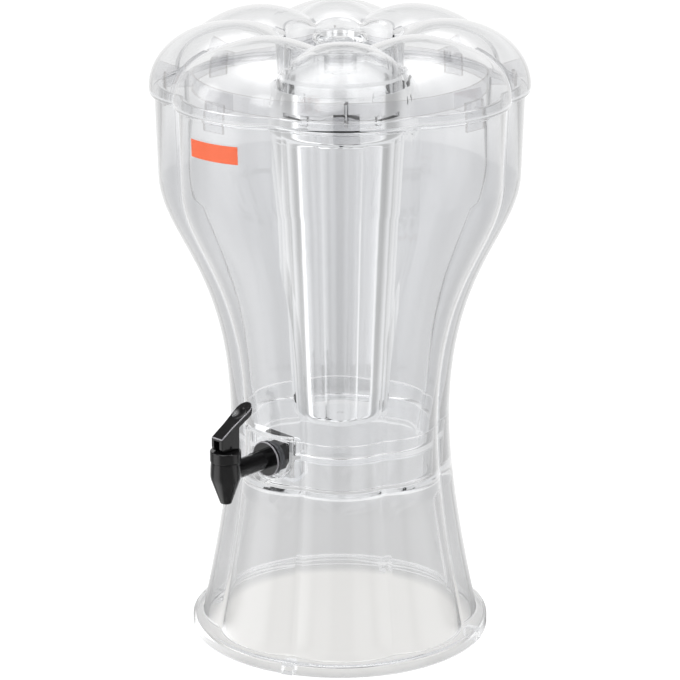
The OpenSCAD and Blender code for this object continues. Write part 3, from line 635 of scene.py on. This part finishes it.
tap_body = turned("tap_body", spout_corners())
work(tap_body, rod_along_tap("stem", [(SHANK_R - 0.6, SHANK_END), (SHANK_R, SHANK_END + 0.8),
                                      (SHANK_R, SPOUT_Y - CHAMBER_R - 1)]), "UNION")
flange_rim = arc(FLANGE_EDGE, 0, math.pi / 2, 6, FLANGE_R - FLANGE_EDGE, FLANGE_END - FLANGE_EDGE)
flange = [(FLANGE_R - 0.4, FLANGE_Y), (FLANGE_R, FLANGE_Y + 0.4)] + flange_rim
work(tap_body, rod_along_tap("flange", flange, 72), "UNION")
for lean in RIB_LEANS:
    rib = [(x * math.cos(lean) - z * math.sin(lean), TAP_Z + x * math.sin(lean) + z * math.cos(lean))
           for x, z in ((-0.6, 3), (0.6, 3), (0.5, SHANK_R + RIB_PROUD), (-0.5, SHANK_R + RIB_PROUD))]
    work(tap_body, prism("stem_rib", rib, FLANGE_END - BITE, FLANGE_END + RIB_L, along_tap), "UNION")
work(tap_body, rod_along_tap("waterway", [(WATER_R, SHANK_END - 1), (WATER_R, SPOUT_Y)]), "DIFFERENCE")
even_flats(tap_body)
# The second finish is a painted highlight, put on the flange's rounded front rim below.
coat(tap_body, black_plastic("tap_black", 0.08), black_plastic("flange_rim", 0.06, EDGE_PAINTED_HIGHLIGHT))
for face in tap_body.data.polygons:
    x, y, z = face.center / MM
    near_edge = FLANGE_R - FLANGE_EDGE < math.hypot(x, z - TAP_Z) < FLANGE_R
    if near_edge and FLANGE_END - FLANGE_EDGE < -y < FLANGE_END:
        face.material_index = 1
dress(tap_body, None, "tank", "black_plastic", "tap_body")

# Bonnet: the black moulded cap that screws on the spout's neck and closes the valve's chamber.
# The plunger's rod comes up through the guide hole in its middle.
BONNET_R, ROD_HOLE, BONNET_UNDER, THREAD_GAP = 12.8, 2.85, 187.7, 0.05
bonnet = turned("tap_bonnet", [
    (NECK_PLUG_R + THREAD_GAP, JOINT_Z, 0.2), (BONNET_R, JOINT_Z, 0.8), (BONNET_R, BONNET_Z, 1.1),
    (ROD_HOLE, BONNET_Z, 0.3), (ROD_HOLE, BONNET_UNDER, 0), (NECK_PLUG_R + THREAD_GAP, BONNET_UNDER, 0)])
even_flats(bonnet)
dress(bonnet, black_plastic("bonnet_black", 0.1), "tank", "black_plastic", "tap_bonnet")

# Lever: a forked hub whose rounded front corner rolls on the bonnet, with a thumb paddle that leans back.
# It is one black moulding; a steel pin joins it to the plunger's rod.
HUB_W, HUB_L, HUB_H, FORK_W, CAM_R = 12.2, 20, 12.4, 6.3, 5
HUB_Z, PIN_Z, PIN_R, PIN_GAP = 191.45, 194.63, 1.3, 0.05
FORK_OVER = 5.8
SLOPE = math.radians(30)
PADDLE_L, PADDLE_W, PADDLE_T, WAIST = 44, 15, 5, 6
RIM_ROUND, RIM_DEEP = 0.7, 1.2
DIMPLE_Y, DIMPLE_R, DIMPLE_DEPTH = 13.8, 16.5, 1.2


def across_lever(y, z, x):
    """Frame of a prism that runs across the lever: its outline lies in y, from the spout's axis, and z."""
    return (x, y - SPOUT_Y, z)


def lever_piece():
    """The side outline and the plan give one block, whose edges are rounded before the cuts are made."""
    half, top = HUB_L / 2, HUB_Z + HUB_H
    along, square = Vector((math.cos(SLOPE), math.sin(SLOPE))), Vector((-math.sin(SLOPE), math.cos(SLOPE)))
    start = Vector((-half, top))
    under = start - square * PADDLE_T
    corner = arc(CAM_R, math.pi, 1.5 * math.pi, 10, CAM_R - half, HUB_Z + CAM_R)
    hub_end = under + along * ((half - under.x) / along.x)
    paddle = [hub_end, under + along * PADDLE_L, start + along * PADDLE_L, start]
    lever = prism("tap_lever", corner + [(half, HUB_Z)] + paddle, -PADDLE_W, PADDLE_W, across_lever)
    tip = PADDLE_W / 2
    end = arc(tip, 0, math.pi, 28, 0, PADDLE_L * math.cos(SLOPE) - half - tip)
    hub = [(-HUB_W / 2, half - WAIST), (-HUB_W / 2, -half - 1), (HUB_W / 2, -half - 1), (HUB_W / 2, half - WAIST)]
    work(lever, prism("plan", [(x, y - SPOUT_Y) for x, y in hub + end], HUB_Z - 1, top + PADDLE_L), "INTERSECT")
    bm = bmesh.new()
    bm.from_mesh(lever.data)
    bmesh.ops.dissolve_limit(bm, angle_limit=0.01, verts=bm.verts, edges=bm.edges)
    bm.to_mesh(lever.data)
    bm.free()
    # The second finish is a painted highlight: pale strips on the rounded edges.
    coat(lever, black_plastic("lever_black", 0.1), black_plastic("lever_rim_highlight", 0.06, EDGE_PAINTED_HIGHLIGHT))
    soften_edges(lever, RIM_ROUND, 5, 35, strip=1)
    # Painted highlight: only the edge strips along the top face stay pale, and the deeper ones go back to black.
    for face in lever.data.polygons:
        if (Vector((face.center.y / MM + SPOUT_Y, face.center.z / MM)) - start).dot(square) < -RIM_DEEP:
            face.material_index = 0
    fork = slab(-HUB_L, HUB_L, HUB_Z - 1, PIN_Z + PIN_R + FORK_OVER)
    work(lever, prism("fork", fork, -FORK_W / 2, FORK_W / 2, across_lever), "DIFFERENCE")
    pin_hole = rod_outline(PIN_R + PIN_GAP, 24, 0, PIN_Z)
    work(lever, prism("pin_hole", pin_hole, -HUB_W, HUB_W, across_lever), "DIFFERENCE")
    deep = start + along * (PADDLE_L - DIMPLE_Y) + square * (DIMPLE_R - DIMPLE_DEPTH)
    bm = bmesh.new()
    bmesh.ops.create_uvsphere(bm, u_segments=96, v_segments=64, radius=DIMPLE_R * MM)
    bmesh.ops.translate(bm, verts=bm.verts, vec=Vector((0, deep.x - SPOUT_Y, deep.y)) * MM)
    work(lever, new_piece("dimple", bm), "DIFFERENCE")
    even_flats(lever, 20)
    while len(lever.data.materials) > 2:
        lever.data.materials.pop()
    return lever


lever = lever_piece()
dress(lever, None, "lever", "black_plastic", "tap_lever")

# Washers, seal, nut, plunger, cup and pin: the small pieces that hold the tap and work its valve.
# Rubber discs sit on both sides of the seat, under a plastic nut and the tap's flange. A turned rod
# carries a silicone cup, and a steel pin joins it to the lever. Their solids are right as they are.


def rubber(name):
    made = Finish(name)
    grain = made.noise(500, 4)
    return made.surface(made.plastic({
        "Base Color": made.blend(grain, (0.038, 0.0385, 0.042), (0.054, 0.055, 0.06)),
        "Roughness": 0.5 + 0.15 * grain, "Normal": made.bump(grain, 0.00005)}))


def silicone(name):
    made = Finish(name)
    cloud = made.noise(300, 2)
    return made.surface(made.plastic({
        "Base Color": made.blend(cloud, (0.7, 0.71, 0.72), (0.78, 0.79, 0.8)), "Roughness": 0.4 + 0.1 * cloud}))


def drawn_steel(name, dark, pale):
    made = Finish(name)
    brush = made.noise(900, 3, (1, 1, 0.05))
    return made.surface(made.plastic({
        "Base Color": made.blend(brush, dark, pale), "Metallic": 1.0,
        "Roughness": 0.22 + 0.12 * brush, "Normal": made.bump(brush, 0.00002)}))


SEAL_RUBBER = rubber("seal_rubber")
for node, material in {
        "outer_washer": SEAL_RUBBER, "inner_washer": SEAL_RUBBER, "bonnet_seal": SEAL_RUBBER,
        "lock_nut": black_plastic("nut_black", 0.36), "valve_plunger": black_plastic("plunger_black", 0.4),
        "seat_cup": silicone("cup_silicone"),
        "lever_pin": drawn_steel("black_pin", (0.02, 0.02, 0.022), (0.035, 0.035, 0.037))}.items():
    coat(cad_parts[node], material)

# Spring: a coil of drawn steel wire round the rod, between the plunger's collar and the bonnet's seal.
# On the real tap it gives way as the lever lifts the plunger, and pushes the cup back on its seat; here the coil stays
# at rest.
SPRING_WIRE, SPRING_TURNS, TURN_STEPS, WIRE_SIDES, PLUNGER_LIFT = 0.9, 4, 40, 12, 3.64


def coil(name, low, high):
    """A round wire wound to fill the box of the spring's solid."""
    wire = SPRING_WIRE * MM / 2
    coil_r, rise = (high[0] - low[0]) / 2 - wire, high[2] - low[2] - 2 * wire
    rings = []
    for t in shares(SPRING_TURNS * TURN_STEPS):
        turn = 2 * math.pi * SPRING_TURNS * t
        section = rod_outline(wire, WIRE_SIDES, coil_r, low[2] + wire + rise * t)
        rings.append([(r * math.cos(turn), r * math.sin(turn) - SPOUT_Y * MM, z) for r, z in section])
    return skin(name, rings)


spring_low, spring_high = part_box("valve_spring")
spring = coil("closing_spring", spring_low, spring_high)
dress(spring, drawn_steel("spring_steel", (0.5, 0.5, 0.5), (0.66, 0.66, 0.65)), "tank", "steel", "valve_spring")
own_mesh(spring)

# Lid: a clear shell of eight petals round a finger well, which sits on the reservoir's ledge.
# Under it hang a spigot with bayonet lugs for the ice core, a stiffening ring, fins and centring tabs.
LID_R, CREST_R, CREST_Z, LIP_H, LIP_ROUND, VALLEY, LID_WALL = 156, 85, 525, 4.5, 3, 9, 2.6
LID_GAP = 0.4
LID_Z = LEDGE_Z + LID_GAP
LIP_Z, LIP_IN = LID_Z + LIP_H, RIM_R + 2 * LID_GAP
WELL_R, WELL_DROP, WELL_Z, WELL_FLOOR, WELL_LIP = 51, 8, 484, 3.4, 1.2
SPIGOT_IN, SPIGOT_Z = WELL_R - 2.4, 446
RING_R, RING_Z, RING_H, RIB_T = 122, 471.4, 14, 2.2
TAB_R, TAB_W, TAB_LOW = RIM_R - WALL - 1.6, 20, LID_Z - 8.5
FIN_Z, FIN_H = LEDGE_Z + RIM_H + 1.4, 16
HEAD_GAP, LUG_Z, LUG_H, LUG_GAP, LUGS = 3.6, 448, 4, 0.4, 4
LUG_ARC = math.radians(28)
LUG_TURNS = [math.pi / 2 + 2 * math.pi / LUGS * i for i in range(LUGS)]
CLEAR_TINT = (0.97, 0.972, 0.975)


def dome(t, grow=0):
    """The petals' outer curve, from the lip up to the crest."""
    a = math.pi / 2 * t
    return (CREST_R + (LID_R - CREST_R + grow) * math.cos(a), LIP_Z + (CREST_Z - LIP_Z + grow) * math.sin(a), 1,
            VALLEY * math.sin(a) ** 2)


def dome_middle(z):
    """Radius of the middle of the petals' wall at a height."""
    return CREST_R - LID_WALL / 2 + (LID_R - CREST_R) * math.sqrt(1 - ((z - LIP_Z) / (CREST_Z - LIP_Z)) ** 2)


def well_slope(t, grow=0):
    """The petals' inner slope, from the crest down to the well's edge."""
    return (CREST_R + (WELL_R + WELL_LIP - grow - CREST_R) * t, CREST_Z + grow - WELL_DROP * t * t, 1,
            VALLEY * (1 - 0.55 * t))


def lid_section():
    rim_z = CREST_Z - WELL_DROP
    return rounded(
        [(LIP_IN, LID_Z, 1, 0, 0.5), (LID_R - 0.4, LID_Z, 1, 0, LIP_ROUND)]
        + [dome(t) for t in shares(40)]
        + [well_slope(t) for t in shares(16)[1:-1]]
        + [(*well_slope(1), 2), (WELL_R - WELL_LIP / 2, rim_z - 3 * WELL_LIP, 1, WELL_LIP, 2),
           (SPIGOT_IN, WELL_Z, 0.6, 0, 2), (SPIGOT_IN, SPIGOT_Z, 0, 0, 0.5),
           (WELL_R, SPIGOT_Z, 0, 0, 0.5), (WELL_R, WELL_Z - WELL_FLOOR, 0, 0, 2),
           (WELL_R + LID_WALL - WELL_LIP / 2, rim_z - 5 * WELL_LIP, 1, WELL_LIP, 2)]
        + [well_slope(t, -LID_WALL) for t in shares(16)[:0:-1]]
        + [dome(t, -LID_WALL) for t in shares(40)[::-1]]
        + [(LIP_IN, LIP_Z - LIP_H / 2, 1, 0, 1)])


def ring_section(r_in, r_out, low, high, rounding=0.4):
    return rounded([(r, z, 0, 0, rounding) for r, z in slab(r_in, r_out, low, high)], 2)


def lug_block(name, r_in, r_out, low, turn):
    """A lug of the bayonet: a block that follows an arc round the axis, at an angle from the tap."""
    start, end = turn - (math.pi + LUG_ARC) / 2, turn - (math.pi - LUG_ARC) / 2
    return prism(name, arc(r_out, start, end, 10) + arc(r_in, end, start, 10), low, low + LUG_H)


def lid_fin(turn):
    """A fin that joins the ring to the skirt, with a tab that hangs inside the reservoir's rim."""
    def across_fin(r, z, across):
        return (r * math.sin(turn) + across * math.cos(turn), -r * math.cos(turn) + across * math.sin(turn), z)
    ring_in, tab_in, high = RING_R - RIB_T / 2, TAB_R - RIB_T / 2, FIN_Z + FIN_H
    side = [(ring_in, RING_Z), (tab_in, RING_Z), (tab_in, FIN_Z), (dome_middle(FIN_Z), FIN_Z),
            (dome_middle(high), high), (ring_in, RING_Z + RING_H - RIB_T / 2)]
    fin = prism("fin", side, -RIB_T / 2, RIB_T / 2, across_fin)
    tab = slab(TAB_R - RIB_T, TAB_R, TAB_LOW, FIN_Z + 2 * RIB_T)
    return fin, prism("tab", tab, -TAB_W / 2, TAB_W / 2, across_fin)


def mark_edges(piece):
    """Gives the narrow faces of the ribs the second finish, a darker veil: painted shade that draws a rib's edges as
    thin darker lines.
    """
    for face in piece.data.polygons:
        x, y = face.center.xy
        corners = [piece.data.vertices[i].co for i in face.vertices]
        longest = max((a - b).length for a, b in zip(corners, corners[1:] + corners[:1]))
        across = abs(face.normal.x * y - face.normal.y * x) / math.hypot(x, y)
        narrow = face.area / longest < 1.3 * RIB_T * MM
        face.material_index = int(narrow and max(across, abs(face.normal.z)) > 0.7)


PEG_R, PEG_GAP = 6, 0.05
RADIAL_FLOW = (0.5, 0.5, 1)
lid = spin("lid", lid_section())
well_floor = ring_section(PEG_R + PEG_GAP, WELL_R - 1.2, WELL_Z - WELL_FLOOR, WELL_Z)
work(lid, spin("well_floor", well_floor, circle), "UNION")
for turn in LUG_TURNS:
    work(lid, lug_block("lug", WELL_R - BITE, WELL_R + HEAD_GAP - LUG_GAP, LUG_Z, turn), "UNION")
even_flats(lid)
dress(lid, clear_plastic("lid_clear", CLEAR_TINT, RADIAL_FLOW), "cover", "clear_plastic", "lid")

ring = spin("ring", ring_section(RING_R - RIB_T, RING_R, RING_Z, RING_Z + RING_H), circle)
for i in range(LOBES):
    for rib in lid_fin(2 * HALF_LOBE * i):
        work(ring, rib, "UNION")
# The rib edges' darker, warm veil is painted shade.
coat(ring, *(thin_plastic(name, CLEAR_TINT, RADIAL_FLOW, veil)
             for name, veil in (("rib_clear", (0.94, 0.94, 0.945)), ("rib_edge_shade", (0.77, 0.757, 0.748)))))
mark_edges(ring)
dress(ring, None, "cover", "clear_plastic")

# Knob: a solid clear knob with a scalloped edge, by which the lid is lifted.
# It is moulded with a peg below, which is pressed into the floor of the well.
KNOB_R, KNOB_HEAD, KNOB_STEM, KNOB_TOP = 22.5, 8, 16, 515
KNOB_EDGE, SCALLOP_R, SCALLOP_DEPTH = 2.4, 9, 1.7


def scalloped(angle):
    """The knob's outline, where its outermost radius is 1: eight shallow scallops."""
    fold = angle - 2 * HALF_LOBE * (math.floor(angle / (2 * HALF_LOBE)) + 0.5)
    far = KNOB_R + SCALLOP_R - SCALLOP_DEPTH
    room = SCALLOP_R ** 2 - (far * math.sin(fold)) ** 2
    cut = far * math.cos(fold) - math.sqrt(room) if room > 0 else KNOB_R
    return min(cut, KNOB_R) / KNOB_R


def knob_section():
    under, bevel, foot = KNOB_TOP - KNOB_HEAD, KNOB_EDGE / 3, WELL_Z + PEG_GAP
    low = WELL_Z - WELL_FLOOR
    return rounded(
        [(0, low, 0, 0), (PEG_R, low, 0, 0, 0.6), (PEG_R, foot, 0, 0, 0.3), (KNOB_STEM - bevel, foot, 0, 0, 0.6),
         (KNOB_STEM, under, 0, 0, 1.5), (KNOB_R - KNOB_EDGE, under, 1, 0, 1), (KNOB_R, under + KNOB_EDGE, 1, 0, 2),
         (KNOB_R, KNOB_TOP - KNOB_EDGE, 1, 0, 2), (KNOB_R - KNOB_EDGE, KNOB_TOP, 1, 0, 2),
         (0.5, KNOB_TOP + bevel, 0, 0), (0, KNOB_TOP + bevel, 0, 0)])


knob = spin("lid_knob", knob_section(), scalloped, 128)
even_flats(knob)
dress(knob, clear_plastic("knob_clear", CLEAR_TINT, RADIAL_FLOW), "cover", "clear_plastic", "lid_knob")

# Ice core: a thin clear moulded cup with lobes, which hangs from the lid's spigot by a bayonet and holds the ice.
# A small round gate mark shows in the middle of its floor.
CORE_Z, CORE_FOOT_R, CORE_R, CORE_WALL, CORE_ROUND = 186.5, 39.6, 52, 2.5, 4
HEAD_Z, HEAD_TOP = 433, 474
HEAD_IN = WELL_R + HEAD_GAP
HEAD_OUT = HEAD_IN + CORE_WALL
GATE_R, GATE_H = 3, 0.4


def core_section():
    in_foot, step = CORE_FOOT_R - CORE_WALL, CORE_WALL / 2
    return rounded(
        [(0, CORE_Z - GATE_H, 0, 0), (GATE_R, CORE_Z - GATE_H, 0, 0, 0.3), (GATE_R, CORE_Z, 0, 0, 0.2),
         (CORE_FOOT_R, CORE_Z, 1, 0, CORE_ROUND + 2), (CORE_R, HEAD_Z - step, 1, 0, 1),
         (HEAD_OUT - step, HEAD_Z, 0.7, 0, 0.8), (HEAD_OUT, HEAD_Z + step, 0.4, 0, 0.8),
         (HEAD_OUT, HEAD_TOP, 0.4, 0, 0.6), (HEAD_IN, HEAD_TOP, 0, 0, 0.6), (HEAD_IN, HEAD_Z + 2 * CORE_WALL, 0, 0, 2),
         (CORE_R - CORE_WALL, HEAD_Z + step, 1, 0, 2), (in_foot, CORE_Z + CORE_WALL, 1, 0, CORE_ROUND + 2),
         (0, CORE_Z + CORE_WALL, 0, 0)])


core = spin("ice_core", core_section())
for turn in LUG_TURNS:
    work(core, lug_block("ledge", WELL_R + LUG_GAP, HEAD_IN + BITE, LUG_Z + LUG_H + REST_GAP, turn), "UNION")
even_flats(core)
dress(core, thin_plastic("core_clear", CLEAR_TINT, UPRIGHT_FLOW), "core", "clear_plastic", "ice_core")

# Studio: a wide pale floor, a soft box overhead, two strips at the sides, and the photographer's camera.
# The floor and the sky are white to the camera; the lamps light the object at a plain level.
FLOOR_SIZE, FAR = 14.0, 3
CAMERA_AWAY, CAMERA_UP, LENS, SENSOR = 2.468, 1.059, 164.2, 36
CAMERA_TURN, CAMERA_TILT = math.radians(43), math.radians(18.09)


def ramp_up(made, value, low, high):
    """0 below one value, 1 above the other, and a soft step between them."""
    return made.node("ShaderNodeMapRange", {"interpolation_type": "SMOOTHSTEP"},
                     {"Value": value, "From Min": low, "From Max": high})


def facing(made, at, turn):
    """How far a place lies in one direction from the middle, as a cosine; turn counts from the camera."""
    flat = made.node("ShaderNodeVectorMath", {"operation": "MULTIPLY"}, {0: at, 1: (1, 1, 0)}, "Vector")
    flat = made.node("ShaderNodeVectorMath", {"operation": "NORMALIZE"}, {0: flat}, "Vector")
    way = (math.sin(CAMERA_TURN + turn), -math.cos(CAMERA_TURN + turn), 0)
    return made.node("ShaderNodeVectorMath", {"operation": "DOT_PRODUCT"}, {0: flat, 1: way}, "Value")


SIDE_TURN, PANEL_TURN = math.radians(65), math.radians(26)


def studio_walls(made, at):
    """Brightness of the studio round the table: a white sweep behind, soft walls at both sides, a dim front.
    The second value is what shows inside a clear piece, with two soft panels beside the camera."""
    def wall(turn, low, high):
        return ramp_up(made, facing(made, at, turn), low, high)
    back = 0.14 + 0.9 * wall(math.pi, 0.2, 0.9)
    left, right = wall(-SIDE_TURN, 0.88, 0.995), 0.6 * wall(SIDE_TURN, 0.92, 0.995)
    panels = wall(-PANEL_TURN, 0.965, 0.998) + wall(PANEL_TURN, 0.965, 0.998)
    return back + 1.3 * left + right, 0.34 + 0.46 * back + 1.2 * left + right + 0.75 * panels


def mirrored(made, outside, inside):
    """What mirrored light shows: one room from outside, and a softer one from inside a clear piece."""
    grey = outside + (ray(made, "Transmission Depth") > 0.5) * (inside - outside)
    return made.node("ShaderNodeCombineXYZ", None, dict.fromkeys(range(3), grey))


def pale_floor():
    """White to the camera and dim in gloss. Through clear pieces it shows painted shade close by, a dimmed warm white
    under the pedestal with a darker band inside its foot rim, and a cool one far off.
    """
    made = Finish("pale_floor")
    grain = made.noise(3, 2)
    at = made.node("ShaderNodeTexCoord", output="Object")
    away = made.node("ShaderNodeVectorMath", {"operation": "LENGTH"}, {0: at}, "Value")
    # Painted shade: out to the pedestal's foot, the floor seen through it is a dimmed warm white, with a darker band
    # just inside the foot rim.
    through = made.node("ShaderNodeValToRGB", {"stops": [
        (0.036, (0.76, 0.75, 0.73)), (0.04, (0.54, 0.54, 0.54)), (0.16, (0.52, 0.522, 0.53)),
        (0.45, (0.6, 0.604, 0.618)), (0.64, (0.64, 0.643, 0.655)), (0.86, (1.0, 1.0, 1.0))]},
        {"Fac": away * (1 / FAR)}, "Color")
    aside = (1 - ramp_up(made, facing(made, at, math.pi), 0.6, 0.95)) * ramp_up(made, away, 0.14, 0.4)
    through = made.blend(aside, through, (0.45, 0.453, 0.46))
    colour = made.blend(ray(made, "Is Camera Ray"), mirrored(made, *studio_walls(made, at)), (1.1, 1.1, 1.1))
    colour = made.blend(ray(made, "Is Transmission Ray"), colour, through)
    pale = made.blend(grain, (0.9, 0.9, 0.9), (0.93, 0.93, 0.93))
    paper = made.node("ShaderNodeBsdfDiffuse", None, {"Color": pale})
    glow = made.node("ShaderNodeEmission", None, {"Color": colour, "Strength": 1.0})
    seen = ray(made, "Is Camera Ray") + ray(made, "Is Transmission Ray") + ray(made, "Is Glossy Ray")
    return made.surface(made.mix(0.88 * (seen > 0.5), paper, glow))


bm = bmesh.new()
bmesh.ops.create_grid(bm, x_segments=8, y_segments=8, size=FLOOR_SIZE / 2)
floor = new_piece("floor", bm)
floor.location.z = -0.3 * MM
floor.data.materials.append(pale_floor())

sky = Finish("sky", bpy.context.scene.world or bpy.data.worlds.new("sky"))
bpy.context.scene.world = sky.owner
way = sky.node("ShaderNodeTexCoord", output="Generated")
height = sky.node("ShaderNodeSeparateXYZ", None, {"Vector": way}, "Z")
room, inside = studio_walls(sky, way)
room = room * (1 - 0.8 * ramp_up(sky, height, 0.3, 0.55)) + 1.3 * ramp_up(sky, height, 0.78, 0.95)
for lamp_way, edge in (((0.33, -0.68, 0.66), 0.95), ((-0.674, -0.603, 0.426), 0.95), ((-0.15, 0.1, 0.98), 0.85)):
    toward = sky.node("ShaderNodeVectorMath", {"operation": "DOT_PRODUCT"}, {0: way, 1: lamp_way}, "Value")
    room = room + 4 * ramp_up(sky, toward, edge, 0.995)
room = mirrored(sky, room, inside)
behind = sky.node("ShaderNodeValToRGB", {"stops": [
    (0.0, (0.98, 0.98, 0.985)), (0.3, (0.85, 0.853, 0.86)), (1.0, (0.95, 0.95, 0.95))]}, {"Fac": height}, "Color")
behind = sky.blend(1 - ramp_up(sky, facing(sky, way, math.pi), 0.6, 0.95), behind, (0.62, 0.623, 0.63))
colour = sky.blend(ray(sky, "Is Transmission Ray"), room, behind)
colour = sky.blend(ray(sky, "Is Camera Ray"), colour, (1, 1, 1))
sky.surface(sky.node("ShaderNodeBackground", None, {"Color": colour, "Strength": 1.0}))


def soft_box(name, place_at, look_at, size, power):
    lamp = bpy.data.lights.new(name, "AREA")
    lamp.shape = "RECTANGLE"
    lamp.size, lamp.size_y = size
    lamp.energy = power
    stand = bpy.data.objects.new(name, lamp)
    stand.location = place_at
    stand.rotation_euler = (Vector(look_at) - Vector(place_at)).to_track_quat("-Z", "Y").to_euler()
    stand.visible_camera = False
    stand.visible_glossy = False
    bpy.context.scene.collection.objects.link(stand)


MIDDLE = (0, 0, 0.3)
soft_box("overhead", (0.35, -0.3, 2.6), MIDDLE, (1.7, 1.7), 36)
soft_box("strip_left", (-1.9, -1.85, 1.4), MIDDLE, (0.8, 1.6), 14)
soft_box("strip_right", (2.4, 0.8, 1.4), MIDDLE, (0.9, 1.8), 9)
soft_box("key", (0.8, -1.85, 1.9), MIDDLE, (1.0, 1.0), 14)

eye = bpy.data.objects.new("camera", bpy.data.cameras.new("camera"))
eye.data.sensor_width = SENSOR
eye.data.lens = LENS
eye.location = (CAMERA_AWAY * math.sin(CAMERA_TURN), -CAMERA_AWAY * math.cos(CAMERA_TURN), CAMERA_UP)
eye.rotation_euler = (math.pi / 2 - CAMERA_TILT, 0, CAMERA_TURN)
bpy.context.scene.collection.objects.link(eye)
bpy.context.scene.camera = eye
bpy.context.scene.view_settings.view_transform = "Standard"
